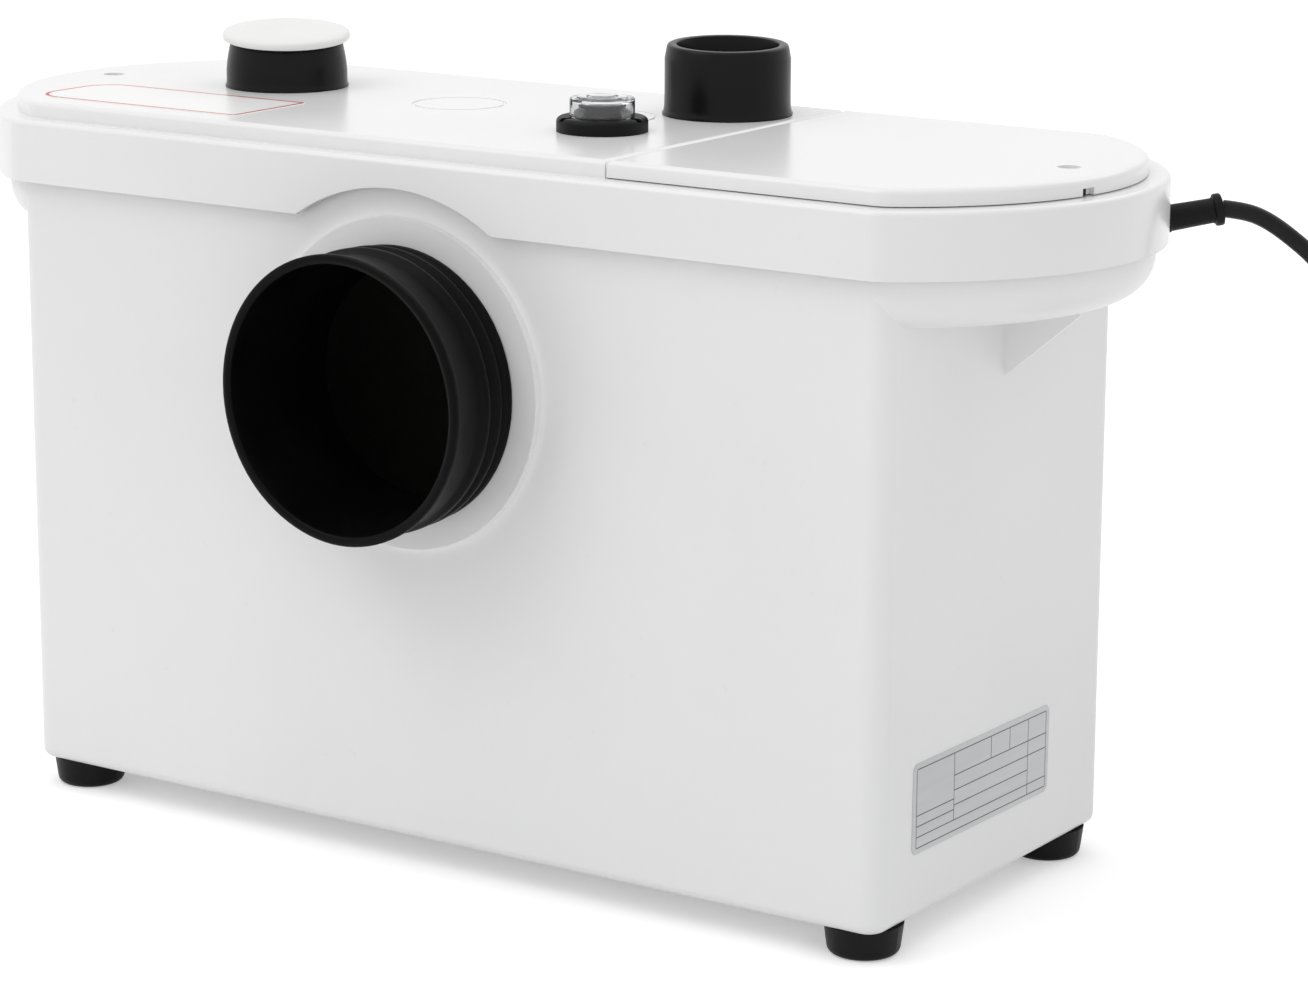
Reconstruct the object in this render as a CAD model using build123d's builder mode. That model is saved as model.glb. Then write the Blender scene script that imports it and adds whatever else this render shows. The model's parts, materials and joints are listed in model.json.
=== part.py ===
from build123d import *
import os
from math import cos, pi, radians, sin, sqrt, tan

os.makedirs("parts", exist_ok=True)

# Macerator toilet pump. Millimetres, +Z up, origin on the floor under the middle of the
# pump's own box. -Y is the front, where the pan outlet enters; the tank's plan is centred
# on x = 0.

# Tank
tank_length = 393.5
tank_depth = 169.0
tank_wall = 3.0
tank_corner = 8.0
tank_bottom_radius = 4.0
rim_height = 253.0
foot_height = 11.5

# Lid, a long plan with two round ends cut by a straight front and back
lobe_reach = 51.25
lid_overhang = 5.0
nose_bulge = 11.5
lid_length = tank_length + 2 * lobe_reach
lid_depth = tank_depth + 2 * lid_overhang
lid_end_radius = lid_depth / 2 + nose_bulge
lid_corner = 12.0
lid_wall = 3.0
lid_edge_radius = 2.0
skirt_height = 24.0
gasket_thickness = 3.0
plateau_rise = 6.4
plateau_inset = 8.0
plateau_edge_radius = 2.2
tray_depth = 24.0
deck_thickness = 3.0

# Waste inlet on the front
inlet_place = -9.0
inlet_drop = 77.5
inlet_height = rim_height - inlet_drop
inlet_reach = 39.7
inlet_bore_radius = 49.5

# Discharge line, motor and air bell, measured from the middle of the tank. The shallower
# the tank, the farther the bell stands from the motor, and the seam and sleeve move with it.
axis_inset = 56.75
discharge_inset = 39.5
outlet_offset = 40.0
shaft_radius = 6.0
bell_radius = 16.0
bell_flange_radius = 17.5
bell_wall_gap = 4.0
bell_run = 44.0
bell_run_depth = 169.0
bell_to_seam = 17.0
seam_to_discharge = 30.0
motor_place = tank_length / 2 - axis_inset
discharge_offset = tank_depth / 2 - discharge_inset
motor_offset = discharge_offset - outlet_offset
bell_place = motor_place - bell_run * (bell_run_depth / tank_depth) ** 3
bell_offset = tank_wall + bell_flange_radius + bell_wall_gap - tank_depth / 2
seam_place = bell_place - bell_to_seam
discharge_place = seam_place - seam_to_discharge

# Side sleeve, vent and screws on the lid
sleeve_bore_radius = 19.5
side_sleeve_place = axis_inset - tank_length / 2
side_sleeve_offset = 13.0
vent_shift = 13.0
vent_place = discharge_place - vent_shift
vent_offset = -20.5
screw_inset = 28.0
screw_place = lid_length / 2 - screw_inset

# Clearances and cutting overrun
running_gap = 0.05
loose_gap = 0.3
cut_overrun = 5.0

# Levels and planes that the pieces share
overall_depth = inlet_reach + tank_depth / 2 + lid_depth / 2
front_y = inlet_reach - overall_depth / 2
mid_y = front_y + tank_depth / 2
base_z = foot_height
floor_z = base_z + tank_wall
rim_z = base_z + rim_height
lid_under_z = rim_z + gasket_thickness
lid_top_z = lid_under_z + lid_wall
plateau_z = lid_top_z + plateau_rise
skirt_z = lid_top_z - skirt_height
deck_z = lid_top_z - tray_depth
deck_under_z = deck_z - deck_thickness
lid_end_centre = lid_length / 2 - lid_end_radius


def level(z, x=0, y=0):
    """Horizontal plane at height z whose origin is x, y from the middle of the tank."""
    return Plane((x, mid_y + y, z))


def upright(x, y, z):
    """Standing plane through a vertical axis: local x is the radius, local y the height."""
    return Plane(origin=(x, mid_y + y, z), x_dir=(1, 0, 0), z_dir=(0, -1, 0))


def stem(x, y):
    """Vertical axis x, y from the middle of the tank."""
    return Axis((x, mid_y + y, 0), (0, 0, 1))


def outline(length, depth, end_radius, corner):
    """Plan with two round ends cut by a straight front and back."""
    centre_x = length / 2 - end_radius
    corner_x = centre_x + sqrt(end_radius**2 - (depth / 2) ** 2)
    with BuildSketch() as plan:
        with BuildLine():
            front = Line((-corner_x, -depth / 2), (corner_x, -depth / 2))
            ThreePointArc(front @ 1, (length / 2, 0), (corner_x, depth / 2))
            back = Line((corner_x, depth / 2), (-corner_x, depth / 2))
            ThreePointArc(back @ 1, (-length / 2, 0), front @ 0)
        make_face()
        fillet(plan.vertices(), corner)
    return plan.sketch


def lid_plan(inset):
    """The lid's outline, drawn in by inset all round."""
    return outline(lid_length - 2 * inset, lid_depth - 2 * inset, lid_end_radius - inset, lid_corner)


def right_of(plan, edge):
    """The part of a plan that lies right of x = edge."""
    with BuildSketch() as cut:
        add(plan)
        with Locations((edge + lid_length / 2, 0)):
            Rectangle(lid_length, lid_length, mode=Mode.INTERSECT)
    return cut.sketch


def left_of(plan, edge):
    """The part of a plan that lies left of x = edge."""
    with BuildSketch() as cut:
        add(plan)
        with Locations((edge - lid_length / 2, 0)):
            Rectangle(lid_length, lid_length, mode=Mode.INTERSECT)
    return cut.sketch


# Tank: a deep box whose top flares at both ends into lobes that carry the lid
collar_inset = 4.5
collar_height = 37.0
collar_corner = 20.0
collar_radius = 14.0
collar_z = rim_z - collar_height
boss_ring_radius = 62.0
boss_ring_proud = 3.0
inlet_hole_radius = 47.0
fin_thickness = 2.0
fin_inset = 3.25
fin_reach = lobe_reach - collar_inset - collar_radius - fin_inset
fin_rise = 29.0
screw_boss_radius = 7.0
screw_boss_drop = 6.0
thread_radius = 2.55
foot_end_inset = 14.75
foot_inset = 16.5
stem_radius = 5.0
stem_length = 6.0
stem_wall = 3.0
inlet_z = base_z + inlet_height


def collar_plan(inset):
    """The tank's rim, flush with its front and back walls and round at the ends."""
    return outline(
        lid_length - 2 * (collar_inset + inset),
        tank_depth - 2 * inset,
        lid_end_radius - collar_inset - inset,
        collar_corner - inset,
    )


def tank_form(inset, top):
    """The tank's outer form, or with inset the space inside its walls."""
    with BuildPart() as form:
        with BuildSketch(level(base_z + inset)):
            RectangleRounded(tank_length - 2 * inset, tank_depth - 2 * inset, tank_corner - inset)
        extrude(amount=top - base_z - inset)
        fillet(form.faces().sort_by(Axis.Z)[0].edges(), tank_bottom_radius - inset)
    with BuildPart() as lobes:
        with BuildSketch(level(collar_z + inset)):
            add(collar_plan(inset))
        extrude(amount=top - collar_z - inset)
        fillet(lobes.faces().sort_by(Axis.Z)[0].edges(), collar_radius - inset)
    return form.part + lobes.part


foot_place = tank_length / 2 - foot_end_inset
foot_y = tank_depth / 2 - foot_inset
foot_spots = [(x, y) for x in (-foot_place, foot_place) for y in (-foot_y, foot_y)]
outer_form = tank_form(0, rim_z)
inner_form = tank_form(tank_wall, rim_z + cut_overrun)
gland_angle = 36.0
gland_rise = 5.0
gland_tilt = 10.0
gland_radius = 4.85
gland_way = Vector(cos(radians(gland_angle)), sin(radians(gland_angle)), 0)
gland_up = Vector(0, 0, 1)
gland_axis = gland_way * cos(radians(gland_tilt)) + gland_up * sin(radians(gland_tilt))
gland_exit = Vector(lid_end_centre, mid_y, skirt_z + gland_rise) + gland_way * lid_end_radius
gland_plane = Plane(origin=gland_exit, x_dir=gland_up.cross(gland_way), z_dir=gland_axis)

with BuildPart() as tank:
    add(outer_form)
    with BuildSketch(Plane.XZ.offset(-front_y)):
        with Locations((inlet_place, inlet_z)):
            Circle(boss_ring_radius)
    extrude(amount=boss_ring_proud)
    add(inner_form, mode=Mode.SUBTRACT)
    with BuildSketch(Plane.XZ.offset(-front_y + boss_ring_proud)):
        with Locations((inlet_place, inlet_z)):
            Circle(inlet_hole_radius)
    extrude(amount=-(boss_ring_proud + tank_wall + cut_overrun), mode=Mode.SUBTRACT)
    for side, boss_top in ((-1, rim_z - screw_boss_drop), (1, deck_under_z)):
        wall_x = side * (tank_length / 2 - tank_wall / 2)
        tip_x = side * (tank_length / 2 + fin_reach)
        with BuildSketch(Plane.XZ.offset(-mid_y)):
            with BuildLine():
                Polyline(
                    (wall_x, collar_z - fin_rise),
                    (tip_x, collar_z - tank_wall),
                    (tip_x, collar_z + tank_wall / 2),
                    (wall_x, collar_z + tank_wall / 2),
                    close=True,
                )
            make_face()
        extrude(amount=fin_thickness / 2, both=True)
        with BuildSketch(level(collar_z + tank_wall / 2, side * screw_place)):
            Circle(screw_boss_radius)
        extrude(amount=boss_top - collar_z - tank_wall / 2)
        with BuildSketch(level(boss_top, side * screw_place)):
            Circle(thread_radius)
        extrude(amount=collar_z + 2 * tank_wall - boss_top, mode=Mode.SUBTRACT)
    with BuildSketch(level(base_z + tank_wall / 2)):
        with Locations(*foot_spots):
            Circle(stem_radius + running_gap + stem_wall)
    extrude(amount=stem_length + tank_wall / 2)
    with BuildSketch(level(base_z)):
        with Locations(*foot_spots):
            Circle(stem_radius + running_gap)
    extrude(amount=stem_length, mode=Mode.SUBTRACT)
    with BuildSketch(gland_plane):
        Circle(gland_radius + loose_gap)
    extrude(amount=-(collar_inset + 3 * tank_wall), mode=Mode.SUBTRACT)
tank.part.label = "tank"
export_step(tank.part, "parts/tank.step")

# Feet: four rubber plugs pushed into the tank's floor
foot_top_radius = 14.5
foot_bottom_radius = 13.0
foot_edge_radius = 3.0

with BuildPart() as rubber_feet:
    for spot in foot_spots:
        with BuildSketch(level(0, *spot)):
            Circle(foot_bottom_radius)
        with BuildSketch(level(foot_height, *spot)):
            Circle(foot_top_radius)
        loft()
    fillet(rubber_feet.edges().group_by(Axis.Z)[0], foot_edge_radius)
    with BuildSketch(level(foot_height)):
        with Locations(*foot_spots):
            Circle(stem_radius)
    extrude(amount=stem_length - loose_gap)
rubber_feet.part.label = "rubber_feet"
export_step(rubber_feet.part, "parts/rubber_feet.step")

# Gasket between the tank's rim and the lid
gasket_inset = 0.4

with BuildPart() as lid_gasket:
    with BuildSketch(level(rim_z)):
        add(collar_plan(gasket_inset))
        add(collar_plan(tank_wall - gasket_inset), mode=Mode.SUBTRACT)
    extrude(amount=gasket_thickness)
lid_gasket.part.label = "lid_gasket"
export_step(lid_gasket.part, "parts/lid_gasket.step")

# Lid: skirt, raised plateau on the left and a sunk electrical tray on the right
tray_inset = 9.5
tray_wall = 2.5
arch_radius = 80.0
arch_drop = 90.5
arch_side = 0.8
arch_depth = 4.0
sleeve_hole_radius = 21.5
discharge_hole_radius = 22.6
vent_hole_radius = 13.3
screw_hole_radius = 2.9
screw_recess_radius = 4.2
screw_recess_depth = 4.0
knock_out_radius = 18.5
knock_out_width = 1.3
knock_out_depth = 0.35
knock_out_shift = 20.0
knock_out_offset = 9.7
second_knock_out_offset = 13.5
knock_out_spots = [
    ((side_sleeve_place + vent_place) / 2, knock_out_offset),
    (vent_place - knock_out_shift, second_knock_out_offset),
]
bell_port_radius = 6.0
motor_screw_ring = 53.0
motor_screw_radius = 2.0
plateau_under_z = plateau_z - lid_wall
motor_screw_reach = motor_screw_ring * cos(radians(45))
motor_screw_spots = [
    (motor_place + a * motor_screw_reach, motor_offset + b * motor_screw_reach)
    for a in (-1, 1)
    for b in (-1, 1)
]

with BuildPart() as lid:
    with BuildSketch(level(skirt_z)):
        add(lid_plan(0))
    extrude(amount=skirt_height)
    fillet(lid.faces().sort_by(Axis.Z)[-1].edges(), lid_edge_radius)
    with BuildSketch(level(lid_top_z)):
        add(left_of(lid_plan(plateau_inset), seam_place))
    extrude(amount=plateau_rise)
    fillet(lid.faces().sort_by(Axis.Z)[-1].edges(), plateau_edge_radius)
    with BuildSketch(level(skirt_z)):
        add(lid_plan(lid_wall))
    extrude(amount=lid_under_z - skirt_z, mode=Mode.SUBTRACT)
    with BuildSketch(level(lid_under_z)):
        add(left_of(lid_plan(plateau_inset + lid_wall), seam_place - tray_wall))
    extrude(amount=plateau_under_z - lid_under_z, mode=Mode.SUBTRACT)
    with BuildSketch(level(deck_under_z)):
        add(right_of(lid_plan(tray_inset), seam_place - tray_wall))
    extrude(amount=lid_top_z - deck_under_z)
    with BuildSketch(level(deck_z)):
        add(right_of(lid_plan(tray_inset + tray_wall), seam_place))
    extrude(amount=plateau_z - deck_z, mode=Mode.SUBTRACT)
    with BuildSketch(level(rim_z - screw_boss_drop + loose_gap, -screw_place)):
        Circle(screw_boss_radius)
    extrude(amount=plateau_under_z - rim_z + screw_boss_drop)
    with BuildSketch(level(plateau_z, -screw_place)):
        Circle(screw_recess_radius)
    extrude(amount=-screw_recess_depth, mode=Mode.SUBTRACT)
    with BuildSketch(level(plateau_z)):
        with Locations((-screw_place, 0), (screw_place, 0)):
            Circle(screw_hole_radius)
        with Locations((side_sleeve_place, side_sleeve_offset)):
            Circle(sleeve_hole_radius)
        with Locations((discharge_place, discharge_offset)):
            Circle(discharge_hole_radius)
        with Locations((vent_place, vent_offset)):
            Circle(vent_hole_radius)
        with Locations((bell_place, bell_offset)):
            Circle(bell_port_radius)
        with Locations(*motor_screw_spots):
            Circle(motor_screw_radius + loose_gap)
    extrude(amount=-tray_depth - plateau_rise - 2 * deck_thickness, mode=Mode.SUBTRACT)
    with BuildSketch(level(plateau_z)):
        with Locations(*knock_out_spots):
            Circle(knock_out_radius)
            Circle(knock_out_radius - knock_out_width, mode=Mode.SUBTRACT)
    extrude(amount=-knock_out_depth, mode=Mode.SUBTRACT)
    with BuildSketch(Plane.XZ.offset(-mid_y + lid_depth / 2 + cut_overrun)):
        with Locations((inlet_place - arch_side, lid_top_z - arch_drop)):
            Circle(arch_radius)
    extrude(amount=-arch_depth - cut_overrun, mode=Mode.SUBTRACT)
    with BuildSketch(gland_plane):
        Circle(gland_radius + loose_gap)
        with Locations((0, -gland_rise)):
            Rectangle(2 * (gland_radius + loose_gap), 2 * gland_rise)
    extrude(amount=2 * lid_wall, both=True, mode=Mode.SUBTRACT)
lid.part.label = "lid"
export_step(lid.part, "parts/lid.step")

# Cover over the electrical tray
cover_gap = 0.6
cover_wall = 2.5
cover_lip_gap = 0.4
cover_lip_wall = 1.6
cover_lip_drop = 2.5
cover_rise = 0.4
cover_boss_radius = 6.5
notch_width = 6.0
notch_height = 3.0
notch_angle = -12.0
cover_edge = seam_place + cover_gap
cover_edge_z = lid_top_z + cover_rise
cover_under_z = plateau_z - cover_wall
lip_inset = tray_inset + tray_wall + cover_lip_gap
lip_edge = seam_place + cover_lip_gap
notch_way = Vector(cos(radians(notch_angle)), sin(radians(notch_angle)), 0)
notch_spot = Vector(lid_end_centre, mid_y, lid_top_z) + notch_way * (lid_end_radius - plateau_inset)

with BuildPart() as service_cover:
    with BuildSketch(level(cover_edge_z)):
        add(right_of(lid_plan(plateau_inset), cover_edge))
    extrude(amount=plateau_z - cover_edge_z)
    fillet(service_cover.faces().sort_by(Axis.Z)[-1].edges(), plateau_edge_radius)
    with BuildSketch(level(cover_edge_z)):
        add(right_of(lid_plan(plateau_inset + cover_wall), cover_edge + cover_wall))
    extrude(amount=cover_under_z - cover_edge_z, mode=Mode.SUBTRACT)
    with BuildSketch(level(lid_top_z - cover_lip_drop)):
        add(right_of(lid_plan(lip_inset), lip_edge))
        add(right_of(lid_plan(lip_inset + cover_lip_wall), lip_edge + cover_lip_wall), mode=Mode.SUBTRACT)
    extrude(amount=cover_under_z - lid_top_z + cover_lip_drop)
    with BuildSketch(level(deck_z, screw_place)):
        Circle(cover_boss_radius)
    extrude(amount=cover_under_z - deck_z)
    with BuildSketch(level(plateau_z, screw_place)):
        Circle(screw_recess_radius)
    extrude(amount=-screw_recess_depth, mode=Mode.SUBTRACT)
    with BuildSketch(level(plateau_z, screw_place)):
        Circle(screw_hole_radius)
    extrude(amount=-tray_depth - plateau_rise, mode=Mode.SUBTRACT)
    with BuildSketch(Plane(origin=notch_spot, x_dir=gland_up.cross(notch_way), z_dir=notch_way)):
        Rectangle(notch_width, 2 * notch_height)
    extrude(amount=cover_wall - loose_gap, both=True, mode=Mode.SUBTRACT)
service_cover.part.label = "service_cover"
export_step(service_cover.part, "parts/service_cover.step")

# Lid screws, a long one on the left and one through the tray on the right
screw_head_radius = 3.9
screw_head_height = 2.5
screw_radius = 2.5
screw_length = 36.0
cross_width = 1.1
cross_span = 4.6
cross_depth = 1.4
screw_seat_z = plateau_z - screw_recess_depth
lid_screw_sizes = (screw_head_radius, screw_head_height, screw_radius, screw_length)


def pan_screw(x, y, seat, head_radius, head_height, radius, length):
    """Cross-head screw whose head stands on height seat."""
    with BuildPart() as form:
        with BuildSketch(level(seat, x, y)):
            Circle(head_radius)
        extrude(amount=head_height)
        fillet(form.edges().group_by(Axis.Z)[-1], head_height / 3)
        with BuildSketch(level(seat + head_height, x, y)):
            Rectangle(cross_span, cross_width)
            Rectangle(cross_width, cross_span)
        extrude(amount=-cross_depth, mode=Mode.SUBTRACT)
        with BuildSketch(level(seat, x, y)):
            Circle(radius)
        extrude(amount=-length)
    return form.part


with BuildPart() as lid_screw:
    add(pan_screw(-screw_place, 0, screw_seat_z, *lid_screw_sizes))
lid_screw.part.label = "lid_screw"
export_step(lid_screw.part, "parts/lid_screw.step")

with BuildPart() as cover_screw:
    add(pan_screw(screw_place, 0, screw_seat_z, *lid_screw_sizes))
cover_screw.part.label = "cover_screw"
export_step(cover_screw.part, "parts/cover_screw.step")

# Side inlet sleeve on the left with its blanking cap
side_lip_radius = 24.1
side_lip_height = 1.0
side_base_radius = 23.7
side_top_radius = 23.2
side_height = 18.9
side_neck_radius = 21.2
side_neck_depth = 8.0
cap_radius = 25.3
cap_thickness = 4.0
cap_edge = 1.4
cap_plug_radius = 19.45
cap_plug_wall = 2.0
cap_plug_depth = 9.0

with BuildPart() as side_sleeve:
    with BuildSketch(upright(side_sleeve_place, side_sleeve_offset, plateau_z)):
        with BuildLine():
            Polyline(
                (sleeve_bore_radius, -side_neck_depth),
                (side_neck_radius, -side_neck_depth),
                (side_neck_radius, 0),
                (side_lip_radius, 0),
                (side_lip_radius, side_lip_height),
                (side_base_radius, side_lip_height),
                (side_top_radius, side_height),
                (sleeve_bore_radius, side_height),
                close=True,
            )
        make_face()
    revolve(axis=stem(side_sleeve_place, side_sleeve_offset))
side_sleeve.part.label = "side_sleeve"
export_step(side_sleeve.part, "parts/side_sleeve.step")

with BuildPart() as blanking_cap:
    with BuildSketch(upright(side_sleeve_place, side_sleeve_offset, plateau_z + side_height)):
        with BuildLine():
            rise = Line((cap_radius, 0), (cap_radius, cap_thickness / 2))
            ThreePointArc(
                rise @ 1,
                (cap_radius - cap_edge / 3, cap_thickness / 2 + 2 * cap_edge / 3),
                (cap_radius - cap_edge, cap_thickness / 2 + cap_edge),
            )
            Polyline(
                (cap_radius - cap_edge, cap_thickness / 2 + cap_edge),
                (cap_radius / 2, cap_thickness),
                (0, cap_thickness),
                (0, 0),
                (cap_plug_radius - cap_plug_wall, 0),
                (cap_plug_radius - cap_plug_wall, -cap_plug_depth),
                (cap_plug_radius, -cap_plug_depth),
                (cap_plug_radius, 0),
                (cap_radius, 0),
            )
        make_face()
    revolve(axis=stem(side_sleeve_place, side_sleeve_offset))
blanking_cap.part.label = "blanking_cap"
export_step(blanking_cap.part, "parts/blanking_cap.step")

# Discharge sleeve on the plateau
discharge_lip_radius = 24.4
discharge_lip_height = 0.8
discharge_radius = 24.1
discharge_height = 26.8
discharge_cone_height = 4.4
discharge_cone_radius = 23.3
discharge_neck_radius = 22.3
discharge_neck_depth = 13.0

with BuildPart() as discharge_sleeve:
    with BuildSketch(upright(discharge_place, discharge_offset, plateau_z)):
        with BuildLine():
            Polyline(
                (sleeve_bore_radius, -discharge_neck_depth),
                (discharge_neck_radius, -discharge_neck_depth),
                (discharge_neck_radius, 0),
                (discharge_lip_radius, 0),
                (discharge_lip_radius, discharge_lip_height),
                (discharge_radius, discharge_lip_height),
                (discharge_radius, discharge_height - discharge_cone_height),
                (discharge_cone_radius, discharge_height),
                (sleeve_bore_radius, discharge_height),
                close=True,
            )
        make_face()
    revolve(axis=stem(discharge_place, discharge_offset))
discharge_sleeve.part.label = "discharge_sleeve"
export_step(discharge_sleeve.part, "parts/discharge_sleeve.step")

# Vent: grommet with a valve seat, a light disc that lifts, and a clear cap
grommet_radius = 17.1
grommet_height = 5.5
grommet_edge = 2.0
vent_neck_radius = 13.0
vent_neck_depth = 6.0
vent_bore_radius = 5.0
vent_seat_radius = 7.0
vent_seat_rise = 3.0
vent_slot_width = 3.0
vent_slot_depth = 1.2
vent_disc_radius = 9.0
vent_disc_thickness = 1.0
vent_cap_radius = 12.15
vent_cap_height = 8.0
vent_cap_wall = 1.2
vent_step = 0.5
vent_z = plateau_z + grommet_height
vent_ring_shares = (0.78, 0.46)

with BuildPart() as vent_grommet:
    with BuildSketch(level(plateau_z, vent_place, vent_offset)):
        Circle(grommet_radius)
    extrude(amount=grommet_height)
    fillet(vent_grommet.edges().group_by(Axis.Z)[-1], grommet_edge)
    with BuildSketch(level(vent_z, vent_place, vent_offset)):
        Circle(vent_seat_radius)
    extrude(amount=vent_seat_rise)
    with BuildSketch(level(plateau_z, vent_place, vent_offset)):
        Circle(vent_neck_radius)
    extrude(amount=-vent_neck_depth)
    with BuildSketch(level(vent_z + vent_seat_rise, vent_place, vent_offset)):
        Circle(vent_bore_radius)
    extrude(amount=-vent_seat_rise - grommet_height - vent_neck_depth, mode=Mode.SUBTRACT)
    with BuildSketch(level(vent_z, vent_place, vent_offset)):
        with PolarLocations(grommet_radius, 3):
            Rectangle(2 * (grommet_radius - vent_seat_radius - vent_slot_width), vent_slot_width)
    extrude(amount=-vent_slot_depth, mode=Mode.SUBTRACT)
vent_grommet.part.label = "vent_grommet"
export_step(vent_grommet.part, "parts/vent_grommet.step")

with BuildPart() as vent_disc:
    with BuildSketch(level(vent_z + vent_seat_rise + loose_gap, vent_place, vent_offset)):
        Circle(vent_disc_radius)
    extrude(amount=vent_disc_thickness)
vent_disc.part.label = "vent_disc"
export_step(vent_disc.part, "parts/vent_disc.step")

with BuildPart() as vent_cap:
    with BuildSketch(level(vent_z, vent_place, vent_offset)):
        Circle(vent_cap_radius)
    extrude(amount=vent_cap_height - 2 * vent_step)
    for count, share in enumerate(vent_ring_shares):
        step_z = vent_z + vent_cap_height - (len(vent_ring_shares) - count) * vent_step
        with BuildSketch(level(step_z, vent_place, vent_offset)):
            Circle(vent_cap_radius * share)
        extrude(amount=vent_step)
    with BuildSketch(level(vent_z, vent_place, vent_offset)):
        Circle(vent_cap_radius - vent_cap_wall)
    extrude(amount=vent_cap_height - 2 * vent_step - vent_cap_wall, mode=Mode.SUBTRACT)
vent_cap.part.label = "vent_cap"
export_step(vent_cap.part, "parts/vent_cap.step")

# Inlet boot: a ribbed rubber sleeve turned about the inlet's axis
boot_lip_radius = 53.2
boot_neck_radius = 46.6
boot_bead_radius = 48.5
boot_bead_width = 1.8
boot_core_radius = 44.0
boot_step_radius = 46.0
boot_round = 0.5
clamp_thickness = 5.0
clamp_radius = 56.0
boot_run = inlet_reach - boss_ring_proud
boot_rib_shares = (
    (0, 0.9774),
    (0.109, 0.9774),
    (0.15, 0.9361),
    (0.204, 0.9887),
    (0.259, 0.9887),
    (0.341, 0.9398),
    (0.436, 0.9962),
    (0.477, 0.9962),
    (0.681, 0.9699),
    (0.926, 1),
    (1, 1),
)
boot_step_shares = (0.55, 0.47, 0.19, 0.1)
bead_start = tank_wall + clamp_thickness + loose_gap
bead_end = bead_start + boot_bead_width
inlet_plane = Plane(origin=(inlet_place, front_y, inlet_z), x_dir=(0, -1, 0), z_dir=(1, 0, 0))
inlet_axis = Axis((inlet_place, front_y, inlet_z), (0, -1, 0))
boot_rib_points = [(boss_ring_proud + boot_run * a, boot_lip_radius * b) for a, b in boot_rib_shares]
boot_step_points = [
    (inlet_reach * a, b)
    for a, b in zip(
        boot_step_shares, (inlet_bore_radius, boot_step_radius, boot_step_radius, boot_core_radius)
    )
]

with BuildPart() as inlet_boot:
    with BuildSketch(inlet_plane) as boot_profile:
        with BuildLine():
            Polyline(
                (-bead_end, boot_bead_radius),
                (-bead_start, boot_bead_radius),
                (-bead_start, boot_neck_radius),
                (boss_ring_proud, boot_neck_radius),
                *boot_rib_points,
                (inlet_reach, inlet_bore_radius),
                *boot_step_points,
                (-bead_end, boot_core_radius),
                close=True,
            )
        make_face()
        fillet(boot_profile.vertices().sort_by(Axis.Y)[-8:], boot_round)
    revolve(axis=inlet_axis)
inlet_boot.part.label = "inlet_boot"
export_step(inlet_boot.part, "parts/inlet_boot.step")

with BuildPart() as inlet_clamp_ring:
    with BuildSketch(Plane.XZ.offset(-front_y - tank_wall)):
        with Locations((inlet_place, inlet_z)):
            Circle(clamp_radius)
            Circle(boot_neck_radius + loose_gap, mode=Mode.SUBTRACT)
    extrude(amount=-clamp_thickness)
inlet_clamp_ring.part.label = "inlet_clamp_ring"
export_step(inlet_clamp_ring.part, "parts/inlet_clamp_ring.step")

# Pump: volute on three legs, its cover, the impeller and the chopping basket above
volute_wall = 3.0
volute_start_radius = 42.0
volute_end_radius = 51.0
volute_clear = 5.0
volute_height = 26.0
volute_floor = 3.0
leg_radius = 5.0
leg_ring = 38.0
outlet_bore_radius = 11.0
pipe_wall = 3.0
outlet_reach = 50.0
cover_plate = 3.0
cover_radius = 53.0
eye_radius = 20.0
volute_steps = 24
volute_z = floor_z + volute_clear
volute_floor_z = volute_z + volute_floor
volute_top_z = volute_z + volute_height
outlet_z = (volute_floor_z + volute_top_z) / 2
outlet_y = mid_y + motor_offset + outlet_offset
outlet_plane = Plane(origin=(motor_place, outlet_y, outlet_z), x_dir=(0, 1, 0), z_dir=(-1, 0, 0))


def spiral(grow):
    """Spiral plan round the motor axis that opens toward the outlet."""
    points = []
    for step in range(volute_steps + 1):
        share = step / volute_steps
        angle = pi / 2 + 2 * pi * share
        radius = volute_start_radius + (volute_end_radius - volute_start_radius) * share + grow
        points.append((radius * cos(angle), radius * sin(angle)))
    with BuildSketch() as plan:
        with BuildLine():
            sweep_line = Spline(*points)
            Line(sweep_line @ 1, sweep_line @ 0)
        make_face()
    return plan.sketch


with BuildPart() as volute:
    with BuildSketch(level(volute_z, motor_place, motor_offset)):
        add(spiral(volute_wall))
    extrude(amount=volute_height)
    with BuildSketch(outlet_plane):
        Circle(outlet_bore_radius + pipe_wall)
    extrude(amount=outlet_reach)
    with BuildSketch(level(volute_top_z, motor_place, motor_offset)):
        Circle(cover_radius + running_gap)
    extrude(amount=cover_plate + cut_overrun, mode=Mode.SUBTRACT)
    with BuildSketch(level(volute_floor_z, motor_place, motor_offset)):
        add(spiral(0))
    extrude(amount=volute_height, mode=Mode.SUBTRACT)
    with BuildSketch(outlet_plane):
        Circle(outlet_bore_radius)
    extrude(amount=outlet_reach, mode=Mode.SUBTRACT)
    with BuildSketch(level(floor_z, motor_place, motor_offset)):
        with PolarLocations(leg_ring, 3):
            Circle(leg_radius)
    extrude(amount=volute_clear + volute_floor / 2)
volute.part.label = "volute"
export_step(volute.part, "parts/volute.step")

with BuildPart() as volute_cover:
    with BuildSketch(level(volute_top_z, motor_place, motor_offset)):
        Circle(cover_radius)
        Circle(eye_radius, mode=Mode.SUBTRACT)
    extrude(amount=cover_plate)
volute_cover.part.label = "volute_cover"
export_step(volute_cover.part, "parts/volute_cover.step")

impeller_radius = 36.0
impeller_hub_radius = 9.0
impeller_clear = 1.5
impeller_plate = 2.5
vane_height = 16.0
vane_thickness = 2.4
vane_count = 5
vane_arc_radius = 26.0
vane_sweep = 14.0

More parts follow.
